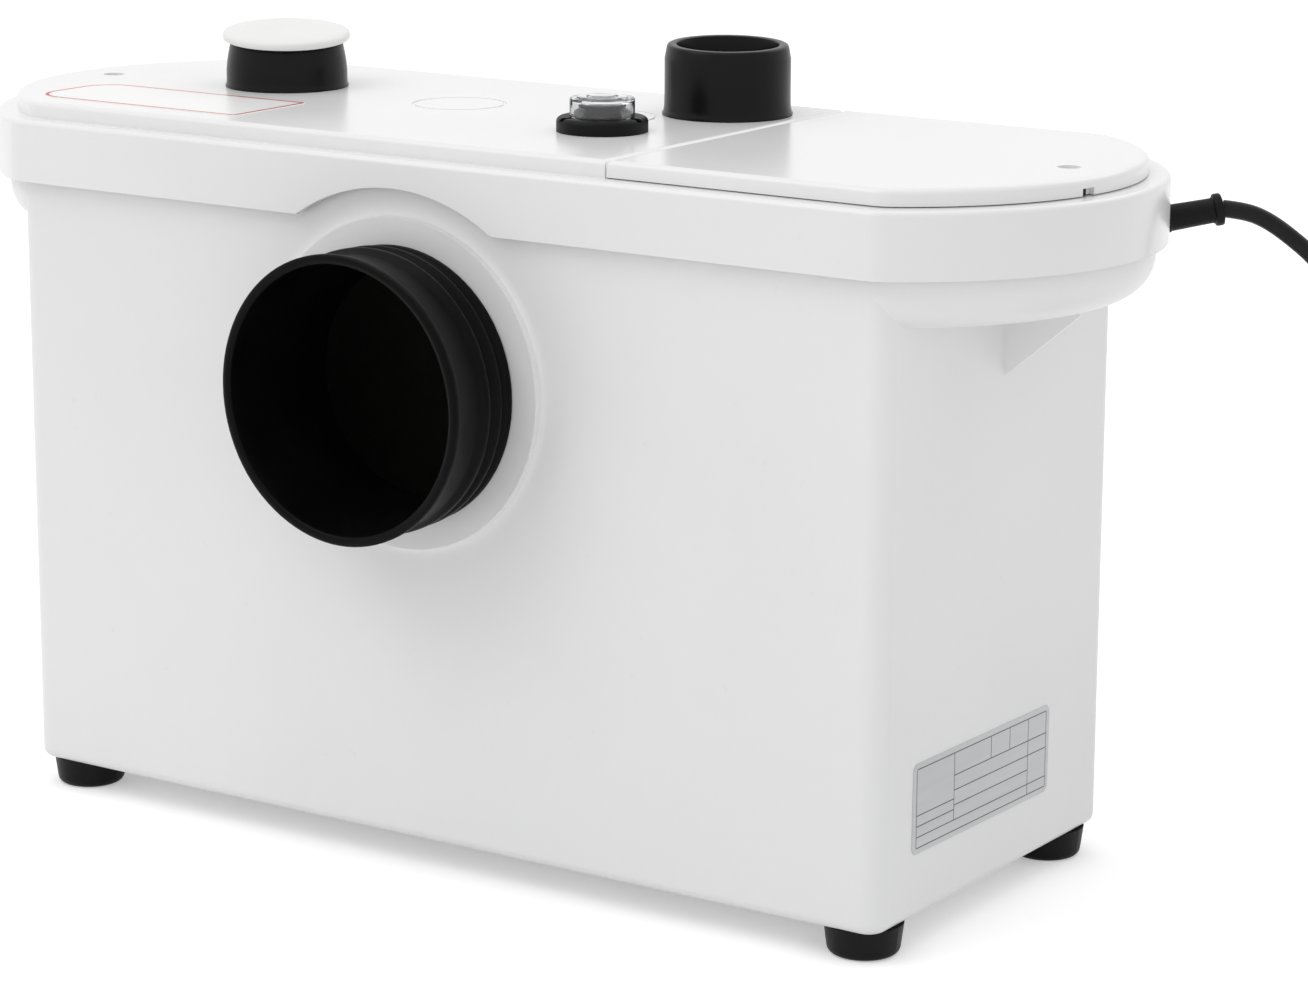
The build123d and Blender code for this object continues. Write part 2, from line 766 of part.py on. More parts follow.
with BuildPart() as impeller:
    impeller_z = volute_floor_z + impeller_clear
    with BuildSketch(level(impeller_z, motor_place, motor_offset)):
        Circle(impeller_radius)
    extrude(amount=impeller_plate)
    with BuildSketch(level(impeller_z + impeller_plate, motor_place, motor_offset)):
        with PolarLocations(0, vane_count):
            with Locations((vane_arc_radius - vane_sweep / 2, vane_sweep)):
                Circle(vane_arc_radius)
                Circle(vane_arc_radius - vane_thickness, mode=Mode.SUBTRACT)
        Circle(impeller_radius, mode=Mode.INTERSECT)
        Circle(impeller_hub_radius)
    extrude(amount=vane_height)
    with BuildSketch(level(impeller_z, motor_place, motor_offset)):
        Circle(shaft_radius + running_gap)
    extrude(amount=impeller_plate + vane_height, mode=Mode.SUBTRACT)
impeller.part.label = "impeller"
export_step(impeller.part, "parts/impeller.step")

basket_radius = 50.0
basket_wall = 3.0
basket_slots = 24
slot_width = 6.0
slot_foot = 8.0
slot_head = 9.0
housing_length = 128.0
basket_z = volute_top_z + cover_plate
housing_z = deck_under_z - housing_length
basket_height = housing_z - basket_z

with BuildPart() as cutter_basket:
    with BuildSketch(level(basket_z, motor_place, motor_offset)):
        Circle(basket_radius)
        Circle(basket_radius - basket_wall, mode=Mode.SUBTRACT)
    extrude(amount=basket_height)
    with BuildSketch(level(basket_z + slot_foot, motor_place, motor_offset)):
        with PolarLocations(basket_radius, basket_slots):
            Rectangle(3 * basket_wall, slot_width)
    extrude(amount=basket_height - slot_foot - slot_head, mode=Mode.SUBTRACT)
cutter_basket.part.label = "cutter_basket"
export_step(cutter_basket.part, "parts/cutter_basket.step")

blade_radius = 44.0
blade_width = 14.0
blade_tip_width = 9.0
blade_thickness = 3.0
blade_hub_radius = 10.0
blade_hub_height = 8.0
blade_rise_share = 0.164

with BuildPart() as cutter_blades:
    blade_z = basket_z + basket_height * blade_rise_share
    with BuildSketch(level(blade_z, motor_place, motor_offset)):
        with BuildLine():
            Polyline(
                (-blade_radius, -blade_tip_width / 2),
                (0, -blade_width / 2),
                (blade_radius, -blade_tip_width / 2),
                (blade_radius, blade_tip_width / 2),
                (0, blade_width / 2),
                (-blade_radius, blade_tip_width / 2),
                close=True,
            )
        make_face()
    extrude(amount=blade_thickness)
    with BuildSketch(level(blade_z, motor_place, motor_offset)):
        Circle(blade_hub_radius)
    extrude(amount=blade_hub_height)
    with BuildSketch(level(blade_z, motor_place, motor_offset)):
        Circle(shaft_radius + running_gap)
    extrude(amount=blade_hub_height, mode=Mode.SUBTRACT)
cutter_blades.part.label = "cutter_blades"
export_step(cutter_blades.part, "parts/cutter_blades.step")

# Motor: housing hung under the tray, seal, bearings, stator and rotor
housing_radius = 50.0
housing_wall = 2.5
housing_plate = 4.0
bearing_radius = 16.0
bearing_height = 10.0
bearing_wall = 4.0
shield_thickness = 5.0
shield_drop = 13.0
shield_ledge = 1.0
flange_radius = 57.0
flange_thickness = 4.0
seal_radius = 11.0
seal_height = 6.7
seat_radius = 10.0
seat_flange_radius = 13.0
seat_flange = 3.0
seat_height = 6.7
bearing_z = housing_z + housing_plate
shield_z = deck_under_z - shield_drop - shield_thickness
upper_bearing_z = shield_z - bearing_height

with BuildPart() as motor_housing:
    with BuildSketch(level(housing_z, motor_place, motor_offset)):
        Circle(housing_radius)
    extrude(amount=deck_under_z - housing_z)
    with BuildSketch(level(deck_under_z - flange_thickness, motor_place, motor_offset)):
        Circle(flange_radius)
    extrude(amount=flange_thickness)
    with BuildSketch(level(bearing_z, motor_place, motor_offset)):
        Circle(housing_radius - housing_wall)
    extrude(amount=deck_under_z - bearing_z, mode=Mode.SUBTRACT)
    with BuildSketch(level(shield_z, motor_place, motor_offset)):
        Circle(housing_radius - housing_wall + shield_ledge)
    extrude(amount=deck_under_z - shield_z, mode=Mode.SUBTRACT)
    with BuildSketch(level(bearing_z, motor_place, motor_offset)):
        Circle(bearing_radius + bearing_wall)
        Circle(bearing_radius + running_gap, mode=Mode.SUBTRACT)
    extrude(amount=bearing_height)
    with BuildSketch(level(housing_z, motor_place, motor_offset)):
        Circle(seat_radius + running_gap)
    extrude(amount=housing_plate, mode=Mode.SUBTRACT)
    with BuildSketch(level(deck_under_z)):
        with Locations(*motor_screw_spots):
            Circle(motor_screw_radius + running_gap)
    extrude(amount=-flange_thickness, mode=Mode.SUBTRACT)
motor_housing.part.label = "motor_housing"
export_step(motor_housing.part, "parts/motor_housing.step")

with BuildPart() as seal_seat:
    with BuildSketch(level(housing_z - seat_flange, motor_place, motor_offset)):
        Circle(seat_flange_radius)
    extrude(amount=seat_flange)
    with BuildSketch(level(housing_z, motor_place, motor_offset)):
        Circle(seat_radius)
    extrude(amount=seat_height - seat_flange)
    with BuildSketch(level(housing_z - seat_flange, motor_place, motor_offset)):
        Circle(shaft_radius + loose_gap)
    extrude(amount=seat_height, mode=Mode.SUBTRACT)
seal_seat.part.label = "seal_seat"
export_step(seal_seat.part, "parts/seal_seat.step")

with BuildPart() as seal_ring:
    with BuildSketch(level(housing_z - seat_flange - loose_gap, motor_place, motor_offset)):
        Circle(seal_radius)
        Circle(shaft_radius + running_gap, mode=Mode.SUBTRACT)
    extrude(amount=-seal_height)
seal_ring.part.label = "seal_ring"
export_step(seal_ring.part, "parts/seal_ring.step")

with BuildPart() as lower_bearing:
    with BuildSketch(level(bearing_z, motor_place, motor_offset)):
        Circle(bearing_radius)
        Circle(shaft_radius + running_gap, mode=Mode.SUBTRACT)
    extrude(amount=bearing_height)
lower_bearing.part.label = "lower_bearing"
export_step(lower_bearing.part, "parts/lower_bearing.step")

with BuildPart() as upper_bearing:
    with BuildSketch(level(upper_bearing_z, motor_place, motor_offset)):
        Circle(bearing_radius)
        Circle(shaft_radius + running_gap, mode=Mode.SUBTRACT)
    extrude(amount=bearing_height)
upper_bearing.part.label = "upper_bearing"
export_step(upper_bearing.part, "parts/upper_bearing.step")

with BuildPart() as end_shield:
    with BuildSketch(level(shield_z, motor_place, motor_offset)):
        Circle(housing_radius - housing_wall + shield_ledge - running_gap)
    extrude(amount=shield_thickness)
    with BuildSketch(level(shield_z, motor_place, motor_offset)):
        Circle(bearing_radius + bearing_wall)
        Circle(bearing_radius + running_gap, mode=Mode.SUBTRACT)
    extrude(amount=-bearing_height)
end_shield.part.label = "end_shield"
export_step(end_shield.part, "parts/end_shield.step")

stator_bore_radius = 27.0
stator_height = 50.0
stator_rise = 36.0
stator_slots = 12
stator_slot_depth = 12.0
stator_slot_width = 6.0
winding_inner_radius = 29.0
winding_radius = 44.0
winding_height = 12.0
winding_round = 3.0
rotor_gap = 0.4
shaft_drop = 2.0
stator_z = housing_z + stator_rise
stator_radius = housing_radius - housing_wall - running_gap

with BuildPart() as stator_core:
    with BuildSketch(level(stator_z, motor_place, motor_offset)):
        Circle(stator_radius)
        Circle(stator_bore_radius, mode=Mode.SUBTRACT)
        with PolarLocations(stator_bore_radius + (stator_slot_depth - cut_overrun) / 2, stator_slots):
            Rectangle(stator_slot_depth + cut_overrun, stator_slot_width, mode=Mode.SUBTRACT)
    extrude(amount=stator_height)
stator_core.part.label = "stator_core"
export_step(stator_core.part, "parts/stator_core.step")

with BuildPart() as stator_windings:
    with BuildSketch(level(stator_z, motor_place, motor_offset)):
        Circle(winding_radius)
        Circle(winding_inner_radius, mode=Mode.SUBTRACT)
    extrude(amount=-winding_height)
    fillet(stator_windings.edges().group_by(Axis.Z)[0], winding_round)
    with BuildSketch(level(stator_z + stator_height, motor_place, motor_offset)):
        Circle(winding_radius)
        Circle(winding_inner_radius, mode=Mode.SUBTRACT)
    extrude(amount=winding_height)
    fillet(stator_windings.edges().group_by(Axis.Z)[-1], winding_round)
stator_windings.part.label = "stator_windings"
export_step(stator_windings.part, "parts/stator_windings.step")

with BuildPart() as rotor_core:
    with BuildSketch(level(stator_z, motor_place, motor_offset)):
        Circle(stator_bore_radius - rotor_gap)
        Circle(shaft_radius + running_gap, mode=Mode.SUBTRACT)
    extrude(amount=stator_height)
rotor_core.part.label = "rotor_core"
export_step(rotor_core.part, "parts/rotor_core.step")

shaft_z = volute_floor_z + impeller_clear + loose_gap
shaft_top_z = upper_bearing_z + bearing_height - shaft_drop

with BuildPart() as motor_shaft:
    with BuildSketch(level(shaft_z, motor_place, motor_offset)):
        Circle(shaft_radius)
    extrude(amount=shaft_top_z - shaft_z)
    chamfer(motor_shaft.edges(), shaft_radius / 10)
motor_shaft.part.label = "motor_shaft"
export_step(motor_shaft.part, "parts/motor_shaft.step")

motor_head_radius = 3.8
motor_head_height = 2.6
motor_screw_length = 9.0
motor_screw_sizes = (motor_head_radius, motor_head_height, motor_screw_radius, motor_screw_length)

with BuildPart() as motor_screws:
    for spot in motor_screw_spots:
        add(pan_screw(*spot, deck_z, *motor_screw_sizes))
motor_screws.part.label = "motor_screws"
export_step(motor_screws.part, "parts/motor_screws.step")

# Discharge pipe and check valve under the discharge sleeve
elbow_share = 0.683
valve_socket_radius = 22.5
valve_socket_wall = 3.0
valve_socket_depth = 10.0
valve_chamber_radius = 20.0
valve_chamber_depth = 47.0
valve_plate = 3.0
valve_port_radius = 12.0
valve_spigot_wall = 3.0
valve_spigot_depth = 15.0
pipe_radius = outlet_bore_radius + pipe_wall
elbow_radius = (motor_place - outlet_reach - discharge_place) * elbow_share
valve_top_z = plateau_under_z - loose_gap
valve_step_z = valve_top_z - valve_socket_depth
valve_seat_z = valve_top_z - valve_chamber_depth
valve_under_z = valve_seat_z - valve_plate
flap_radius = 15.0
flap_thickness = 2.5
flap_hinge_reach = 16.5
flap_hinge_rise = 2.5
flap_lug_radius = 2.2
flap_lug_width = 8.0
flap_pin_radius = 1.0
flap_pin_half = 14.0
hinge_x = discharge_place - flap_hinge_reach
hinge_z = valve_seat_z + flap_hinge_rise

with BuildPart() as discharge_pipe:
    with BuildLine() as pipe_route:
        FilletPolyline(
            (motor_place - outlet_reach, outlet_y, outlet_z),
            (discharge_place, outlet_y, outlet_z),
            (discharge_place, outlet_y, valve_under_z),
            radius=elbow_radius,
        )
    with BuildSketch(outlet_plane.offset(outlet_reach)):
        Circle(pipe_radius)
        Circle(outlet_bore_radius, mode=Mode.SUBTRACT)
    sweep()
discharge_pipe.part.label = "discharge_pipe"
export_step(discharge_pipe.part, "parts/discharge_pipe.step")

with BuildPart() as check_valve_body:
    with BuildSketch(upright(discharge_place, discharge_offset, 0)):
        with BuildLine():
            Polyline(
                (valve_socket_radius, valve_top_z),
                (valve_socket_radius + valve_socket_wall, valve_top_z),
                (valve_socket_radius + valve_socket_wall, valve_step_z - valve_socket_wall),
                (valve_chamber_radius + valve_socket_wall, valve_step_z - valve_socket_wall),
                (valve_chamber_radius + valve_socket_wall, valve_under_z),
                (pipe_radius + running_gap + valve_spigot_wall, valve_under_z),
                (pipe_radius + running_gap + valve_spigot_wall, valve_under_z - valve_spigot_depth),
                (pipe_radius + running_gap, valve_under_z - valve_spigot_depth),
                (pipe_radius + running_gap, valve_under_z),
                (valve_port_radius, valve_under_z),
                (valve_port_radius, valve_seat_z),
                (valve_chamber_radius, valve_seat_z),
                (valve_chamber_radius, valve_step_z),
                (valve_socket_radius, valve_step_z),
                close=True,
            )
        make_face()
    revolve(axis=stem(discharge_place, discharge_offset))
    with BuildSketch(Plane.XZ.offset(-mid_y - discharge_offset)):
        with Locations((hinge_x, hinge_z)):
            Circle(flap_pin_radius + running_gap)
    extrude(amount=flap_pin_half + loose_gap, both=True, mode=Mode.SUBTRACT)
check_valve_body.part.label = "check_valve_body"
export_step(check_valve_body.part, "parts/check_valve_body.step")

with BuildPart() as discharge_flap:
    with BuildSketch(level(valve_seat_z + loose_gap, discharge_place, discharge_offset)):
        Circle(flap_radius)
        with Locations((-flap_hinge_reach / 2, 0)):
            Rectangle(flap_hinge_reach, flap_lug_width)
    extrude(amount=flap_thickness - loose_gap)
    with BuildSketch(Plane.XZ.offset(-mid_y - discharge_offset)):
        with Locations((hinge_x, hinge_z)):
            Circle(flap_lug_radius)
    extrude(amount=flap_lug_width / 2, both=True)
    with BuildSketch(Plane.XZ.offset(-mid_y - discharge_offset)):
        with Locations((hinge_x, hinge_z)):
            Circle(flap_pin_radius)
    extrude(amount=flap_pin_half, both=True)
discharge_flap.part.label = "discharge_flap"
export_step(discharge_flap.part, "parts/discharge_flap.step")

# Level sensing: air bell under the tray, diaphragm capsule and microswitch above it
bell_wall = 2.0
bell_length = 172.0
bell_flange = 3.0
capsule_radius = 16.0
base_thickness = 2.0
diaphragm_thickness = 1.0
capsule_cap_height = 5.5
capsule_wall = 1.5
rod_radius = 2.0
rod_gap = 0.3
rod_rise = 4.8
plunger_radius = 9.0
plunger_plate = 1.0
plunger_travel = 1.2
base_top_z = deck_z + base_thickness
membrane_top_z = base_top_z + diaphragm_thickness
capsule_top_z = membrane_top_z + capsule_cap_height
rod_top_z = capsule_top_z + rod_rise

with BuildPart() as pressure_bell:
    with BuildSketch(level(deck_under_z, bell_place, bell_offset)):
        Circle(bell_radius)
    extrude(amount=-bell_length)
    with BuildSketch(level(deck_under_z, bell_place, bell_offset)):
        Circle(bell_flange_radius)
    extrude(amount=-bell_flange)
    with BuildSketch(level(deck_under_z - bell_flange, bell_place, bell_offset)):
        Circle(bell_radius - bell_wall)
    extrude(amount=-bell_length, mode=Mode.SUBTRACT)
    with BuildSketch(level(deck_under_z, bell_place, bell_offset)):
        Circle(bell_port_radius)
    extrude(amount=-bell_flange, mode=Mode.SUBTRACT)
pressure_bell.part.label = "pressure_bell"
export_step(pressure_bell.part, "parts/pressure_bell.step")

with BuildPart() as pressure_base:
    with BuildSketch(level(deck_z, bell_place, bell_offset)):
        Circle(capsule_radius)
        Circle(bell_port_radius, mode=Mode.SUBTRACT)
    extrude(amount=base_thickness)
pressure_base.part.label = "pressure_base"
export_step(pressure_base.part, "parts/pressure_base.step")

with BuildPart() as diaphragm:
    with BuildSketch(level(base_top_z, bell_place, bell_offset)):
        Circle(capsule_radius)
    extrude(amount=diaphragm_thickness)
diaphragm.part.label = "diaphragm"
export_step(diaphragm.part, "parts/diaphragm.step")

with BuildPart() as pressure_cap:
    with BuildSketch(level(membrane_top_z, bell_place, bell_offset)):
        Circle(capsule_radius)
    extrude(amount=capsule_cap_height)
    with BuildSketch(level(membrane_top_z, bell_place, bell_offset)):
        Circle(capsule_radius - capsule_wall)
    extrude(amount=capsule_cap_height - capsule_wall, mode=Mode.SUBTRACT)
    with BuildSketch(level(membrane_top_z, bell_place, bell_offset)):
        Circle(rod_radius + running_gap)
    extrude(amount=capsule_cap_height, mode=Mode.SUBTRACT)
pressure_cap.part.label = "pressure_cap"
export_step(pressure_cap.part, "parts/pressure_cap.step")

with BuildPart() as pressure_plunger:
    with BuildSketch(level(membrane_top_z + loose_gap, bell_place, bell_offset)):
        Circle(plunger_radius)
    extrude(amount=plunger_plate)
    with BuildSketch(level(membrane_top_z + loose_gap, bell_place, bell_offset)):
        Circle(rod_radius)
    extrude(amount=rod_top_z - membrane_top_z - loose_gap)
pressure_plunger.part.label = "pressure_plunger"
export_step(pressure_plunger.part, "parts/pressure_plunger.step")

button_radius = 0.9
button_rise = 2.0
button_bury = 1.3
button_space = 1.5
button_inset = 6.5
switch_length = 20.0
switch_width = 6.4
switch_height = 10.6
switch_hole_radius = 1.1
switch_hole_inset = 5.0
switch_hole_rise = 7.6
switch_z = rod_top_z + button_rise
switch_x = bell_place - button_inset + switch_length / 2
switch_y = mid_y + bell_offset

with BuildPart() as microswitch:
    with BuildSketch(level(switch_z, switch_x, bell_offset)):
        Rectangle(switch_length, switch_width)
    extrude(amount=switch_height)
    with BuildSketch(Plane.XZ.offset(-switch_y)):
        with Locations(
            (switch_x - switch_length / 2 + switch_hole_inset, switch_z + switch_hole_rise),
            (switch_x + switch_length / 2 - switch_hole_inset, switch_z + switch_hole_rise),
        ):
            Circle(switch_hole_radius)
    extrude(amount=switch_width, both=True, mode=Mode.SUBTRACT)
    with BuildSketch(level(switch_z, bell_place, bell_offset)):
        Circle(button_radius + running_gap)
    extrude(amount=button_bury + button_space, mode=Mode.SUBTRACT)
microswitch.part.label = "microswitch"
export_step(microswitch.part, "parts/microswitch.step")

with BuildPart() as switch_button:
    with BuildSketch(level(rod_top_z + loose_gap, bell_place, bell_offset)):
        Circle(button_radius)
    extrude(amount=button_rise - loose_gap + button_bury)
switch_button.part.label = "switch_button"
export_step(switch_button.part, "parts/switch_button.step")

bracket_thickness = 1.0
bracket_length = 12.0
bracket_foot = 6.0
bracket_y = switch_y + switch_width / 2
bracket_spot = (switch_x - bracket_length / 2, bracket_y, capsule_top_z)

with BuildPart() as switch_bracket:
    with BuildSketch(Plane(origin=bracket_spot, x_dir=(0, 1, 0), z_dir=(1, 0, 0))):
        with BuildLine():
            Polyline(
                (0, 0),
                (bracket_foot, 0),
                (bracket_foot, bracket_thickness),
                (bracket_thickness, bracket_thickness),
                (bracket_thickness, switch_z + switch_height - capsule_top_z),
                (0, switch_z + switch_height - capsule_top_z),
                close=True,
            )
        make_face()
    extrude(amount=bracket_length)
switch_bracket.part.label = "switch_bracket"
export_step(switch_bracket.part, "parts/switch_bracket.step")

# Run capacitor in its clip and the terminal block
capacitor_shift = 54.0
capacitor_side_shift = 5.0
capacitor_radius = 12.5
capacitor_length = 56.0
capacitor_edge = 1.5
clip_thickness = 1.2
clip_width = 14.0
clip_foot = 30.0
clip_open = 15.0
capacitor_place = motor_place + capacitor_shift
capacitor_y = mid_y + motor_offset + capacitor_side_shift
capacitor_z = deck_z + clip_thickness + capacitor_radius

with BuildPart() as run_capacitor:
    with BuildSketch(Plane.XZ.offset(-capacitor_y)):
        with Locations((capacitor_place, capacitor_z)):
            Circle(capacitor_radius)
    extrude(amount=capacitor_length / 2, both=True)
    fillet(run_capacitor.edges(), capacitor_edge)
run_capacitor.part.label = "run_capacitor"
export_step(run_capacitor.part, "parts/run_capacitor.step")

with BuildPart() as capacitor_clip:
    with BuildSketch(Plane.XZ.offset(-capacitor_y)):
        with Locations((capacitor_place, capacitor_z)):
            Circle(capacitor_radius + clip_thickness)
        with Locations((capacitor_place, capacitor_z + capacitor_radius + clip_open / 2)):
            Rectangle(3 * capacitor_radius, capacitor_radius + clip_open, mode=Mode.SUBTRACT)
        with Locations((capacitor_place, deck_z + clip_thickness / 2)):
            Rectangle(clip_foot, clip_thickness)
        with Locations((capacitor_place, capacitor_z)):
            Circle(capacitor_radius + running_gap, mode=Mode.SUBTRACT)
    extrude(amount=clip_width / 2, both=True)
capacitor_clip.part.label = "capacitor_clip"
export_step(capacitor_clip.part, "parts/capacitor_clip.step")

terminal_shift = 22.0
terminal_inset = 31.5
terminal_length = 34.0
terminal_width = 18.0
terminal_height = 13.0
terminal_count = 4
terminal_pitch = 7.5
terminal_hole_radius = 2.2
terminal_hole_depth = 6.0
terminal_place = motor_place - terminal_shift
terminal_offset = lid_depth / 2 - terminal_inset

with BuildPart() as terminal_block:
    with BuildSketch(level(deck_z, terminal_place, terminal_offset)):
        Rectangle(terminal_length, terminal_width)
    extrude(amount=terminal_height)
    with BuildSketch(level(deck_z + terminal_height, terminal_place, terminal_offset)):
        with GridLocations(terminal_pitch, terminal_width / 2, terminal_count, 2):
            Circle(terminal_hole_radius)
    extrude(amount=-terminal_hole_depth, mode=Mode.SUBTRACT)
terminal_block.part.label = "terminal_block"
export_step(terminal_block.part, "parts/terminal_block.step")

# Cord gland in the tank's rim and the mains cord, coiled on the floor beside the pump
gland_inside = 7.5
gland_reach = 20.7
gland_tip_radius = 4.7
gland_ring_radius = 5.9
gland_ring_width = 3.0
cord_radius = 3.2
tie_thickness = 0.6
tie_gap = 0.3
cord_reach = 104.9
cord_low_z = tie_thickness + tie_gap + cord_radius
cord_route_shares = (
    (0, 1),
    (0.0715, 0.9966),
    (0.143, 0.9859),
    (0.2231, 0.964),
    (0.3546, 0.9181),
    (0.45, 0.8492),
    (0.5214, 0.709),
    (0.5405, 0.486),
    (0.5408, 0.2948),
    (0.5462, 0.1705),
    (0.5796, 0.1032),
    (0.6511, 0.0506),
    (0.755, 0.0163),
    (0.8761, 0),
    (1, 0),
)
bend_share = 0.45
gland_tip = gland_exit + gland_way * gland_reach + gland_up * (gland_reach * tan(radians(gland_tilt)))


def bends(points):
    """Bend radii of a route, from the shorter run at each corner and how far it turns."""
    radii = []
    for before, here, after in zip(points, points[1:], points[2:]):
        first = here - before
        second = after - here
        turn = radians(first.get_angle(second))
        radii.append(bend_share * min(first.length, second.length) / tan(turn / 2))
    return radii


drop = gland_tip.Z - cord_low_z
cord_points = [
    Vector(gland_tip.X, gland_tip.Y, cord_low_z) + gland_way * (cord_reach * a) + gland_up * (drop * b)
    for a, b in cord_route_shares
]
cord_bends = bends(cord_points)
print("cord bends", [round(radius, 1) for radius in cord_bends])
ring_plane = Plane(origin=gland_tip, z_dir=cord_points[1] - cord_points[0])

with BuildPart() as cord_gland:
    with BuildSketch(gland_plane.offset(-gland_inside)):
        Circle(gland_radius)
    with BuildSketch(gland_plane.offset(gland_reach - gland_ring_width / 2)):
        Circle(gland_tip_radius)
    loft()
    with BuildSketch(ring_plane):
        Circle(gland_ring_radius)
    extrude(amount=-gland_ring_width)
cord_gland.part.label = "cord_gland"
export_step(cord_gland.part, "parts/cord_gland.step")

with BuildPart() as cord:
    with BuildLine() as cord_route:
        FilletPolyline(*cord_points, radius=cord_bends)
    with BuildSketch(Plane(origin=cord_points[0], z_dir=cord_points[1] - cord_points[0])):
        Circle(cord_radius)
    sweep()
cord.part.label = "cord"
export_step(cord.part, "parts/cord.step")
cord_length = cord_route.wires()[0].length

# Coil: a flat spiral inwards, a climb, and a second layer outwards again
coil_radius = 42.0
coil_pitch = 7.2
coil_rise = 7.0
coil_lower_halves = 4
coil_upper_halves = 3
coil_side = Vector(gland_way.Y, -gland_way.X, 0)
coil_start = cord_points[-1]
coil_lead = 2 * cord_radius
coil_centre = coil_start + gland_way * coil_lead + coil_side * coil_radius
half_step = coil_pitch / 2
lower_radii = [coil_radius - half_step * count for count in range(coil_lower_halves + 1)]
upper_radii = [lower_radii[-1] + half_step * (count + 1) for count in range(coil_upper_halves)]
half_radii = lower_radii + upper_radii
climb_half = len(lower_radii) - 1
coil_knots = [coil_start + gland_way * coil_lead]
for count, radius in enumerate(half_radii):
    across = coil_side * (2 * radius * (-1) ** count)
    climb = gland_up * (coil_rise if count == climb_half else 0)
    coil_knots.append(coil_knots[-1] + across + climb)

with BuildPart() as cord_coil:
    with BuildLine() as coil_route:
        Line(coil_start, coil_knots[0])
        for count in range(len(half_radii)):
            here = coil_knots[count]
            there = coil_knots[count + 1]
            heading = gland_way * (-1) ** count
            half = (there - here).length / 2
            middle = (here + there) * (1 / 2) + heading * half
            TangentArc(here, middle, tangent=heading)
            TangentArc(middle, there, tangent=(there - here).normalized())
        Line(coil_knots[-1], coil_knots[-1] + gland_way * coil_lead)
    with BuildSketch(Plane(origin=coil_start, z_dir=gland_way)):
        Circle(cord_radius)
    sweep()
cord_coil.part.label = "cord_coil"
export_step(cord_coil.part, "parts/cord_coil.step")
coil_path = coil_route.wires()[0]
coil_length = coil_path.length

# Short lead from the coil to the plug, the plug and the tie round the coil
plug_radius = 19.0
plug_length = 34.0
plug_neck_length = 18.0
plug_neck_radius = 7.0
plug_edge = 3.0
pin_radius = 2.4
pin_length = 19.0
pin_spacing = 19.0
lead_run = 17.6
lead_headings = (0, 10, 30, 52, 72, 90)
lead_run_shares = (0.9, 1, 1, 0.97, 0.92, 0.84)
lead_height_shares = (0, 0, 0, 0.27, 0.7, 1, 1)
lead_start = coil_knots[-1] + gland_way * coil_lead
lead_points = [lead_start]
for heading, share in zip(lead_headings, lead_run_shares):
    way = gland_way * cos(radians(heading)) + coil_side * sin(radians(heading))
    lead_points.append(lead_points[-1] + way * (lead_run * share))
lead_points = [
    point + gland_up * ((plug_radius - lead_start.Z) * share)
    for point, share in zip(lead_points, lead_height_shares)
]
lead_bends = bends(lead_points)
print("lead bends", [round(radius, 1) for radius in lead_bends])

with BuildPart() as plug_lead:
    with BuildLine() as lead_route:
        FilletPolyline(*lead_points, radius=lead_bends)
    with BuildSketch(Plane(origin=lead_points[0], z_dir=gland_way)):
        Circle(cord_radius)
    sweep()
plug_lead.part.label = "plug_lead"
export_step(plug_lead.part, "parts/plug_lead.step")
lead_length = lead_route.wires()[0].length

plug_plane = Plane(origin=lead_points[-1], x_dir=gland_way, z_dir=coil_side)

with BuildPart() as plug_body:
    with BuildSketch(plug_plane):
        Circle(plug_neck_radius)
    with BuildSketch(plug_plane.offset(plug_neck_length)):
        Circle(plug_neck_radius + plug_edge)
    loft()
    with BuildSketch(plug_plane.offset(plug_neck_length)):
        Circle(plug_radius)
    extrude(amount=plug_length)
    fillet(plug_body.edges().filter_by(GeomType.CIRCLE).group_by(SortBy.RADIUS)[-1], plug_edge)
plug_body.part.label = "plug_body"
export_step(plug_body.part, "parts/plug_body.step")

with BuildPart() as plug_pins:
    with BuildSketch(plug_plane.offset(plug_neck_length + plug_length)):
        with Locations((0, pin_spacing / 2), (0, -pin_spacing / 2)):
            Circle(pin_radius)
    extrude(amount=pin_length)
    chamfer(plug_pins.edges().filter_by(GeomType.CIRCLE), pin_radius / 3)
plug_pins.part.label = "plug_pins"
export_step(plug_pins.part, "parts/plug_pins.step")

tie_width = 8.0
tie_inner_span = lower_radii[0] - lower_radii[-1] + 2 * (cord_radius + tie_gap)
tie_inner_height = coil_rise + 2 * (cord_radius + tie_gap)
tie_middle = (lower_radii[0] + lower_radii[-1]) / 2
tie_spot = coil_centre + gland_way * tie_middle + gland_up * (coil_rise / 2)

with BuildPart() as cord_tie:
    with BuildSketch(Plane(origin=tie_spot, x_dir=gland_way, z_dir=coil_side)):
        Rectangle(tie_inner_span + 2 * tie_thickness, tie_inner_height + 2 * tie_thickness)
        Rectangle(tie_inner_span, tie_inner_height, mode=Mode.SUBTRACT)
    extrude(amount=tie_width / 2, both=True)
cord_tie.part.label = "cord_tie"
export_step(cord_tie.part, "parts/cord_tie.step")

# Length and self-gap of the cord
sample_step = 2.0
sample_count = int(coil_length / sample_step)
samples = [coil_path @ (count / sample_count) for count in range(sample_count + 1)]
apart = int(pi * cord_radius * 2 / sample_step) + 1
least = min(
    (samples[a] - samples[b]).length
    for a in range(len(samples))
    for b in range(a + apart, len(samples))
)
print("cord lengths", round(cord_length), round(coil_length), round(lead_length))
print("cord in all", round(cord_length + coil_length + lead_length))
print("coil least self-gap", round(least - 2 * cord_radius, 2))
for name, piece, length in (
    ("cord", cord, cord_length),
    ("coil", cord_coil, coil_length),
    ("lead", plug_lead, lead_length),
):
    print(name, "volume share", round(piece.part.volume / (pi * cord_radius**2 * length), 4))
box = tank.part.bounding_box()
print("tank box", box.min, box.max)
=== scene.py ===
import json
from math import cos, pi, radians, sin, tan

import bpy
from mathutils import Euler, Matrix, Vector


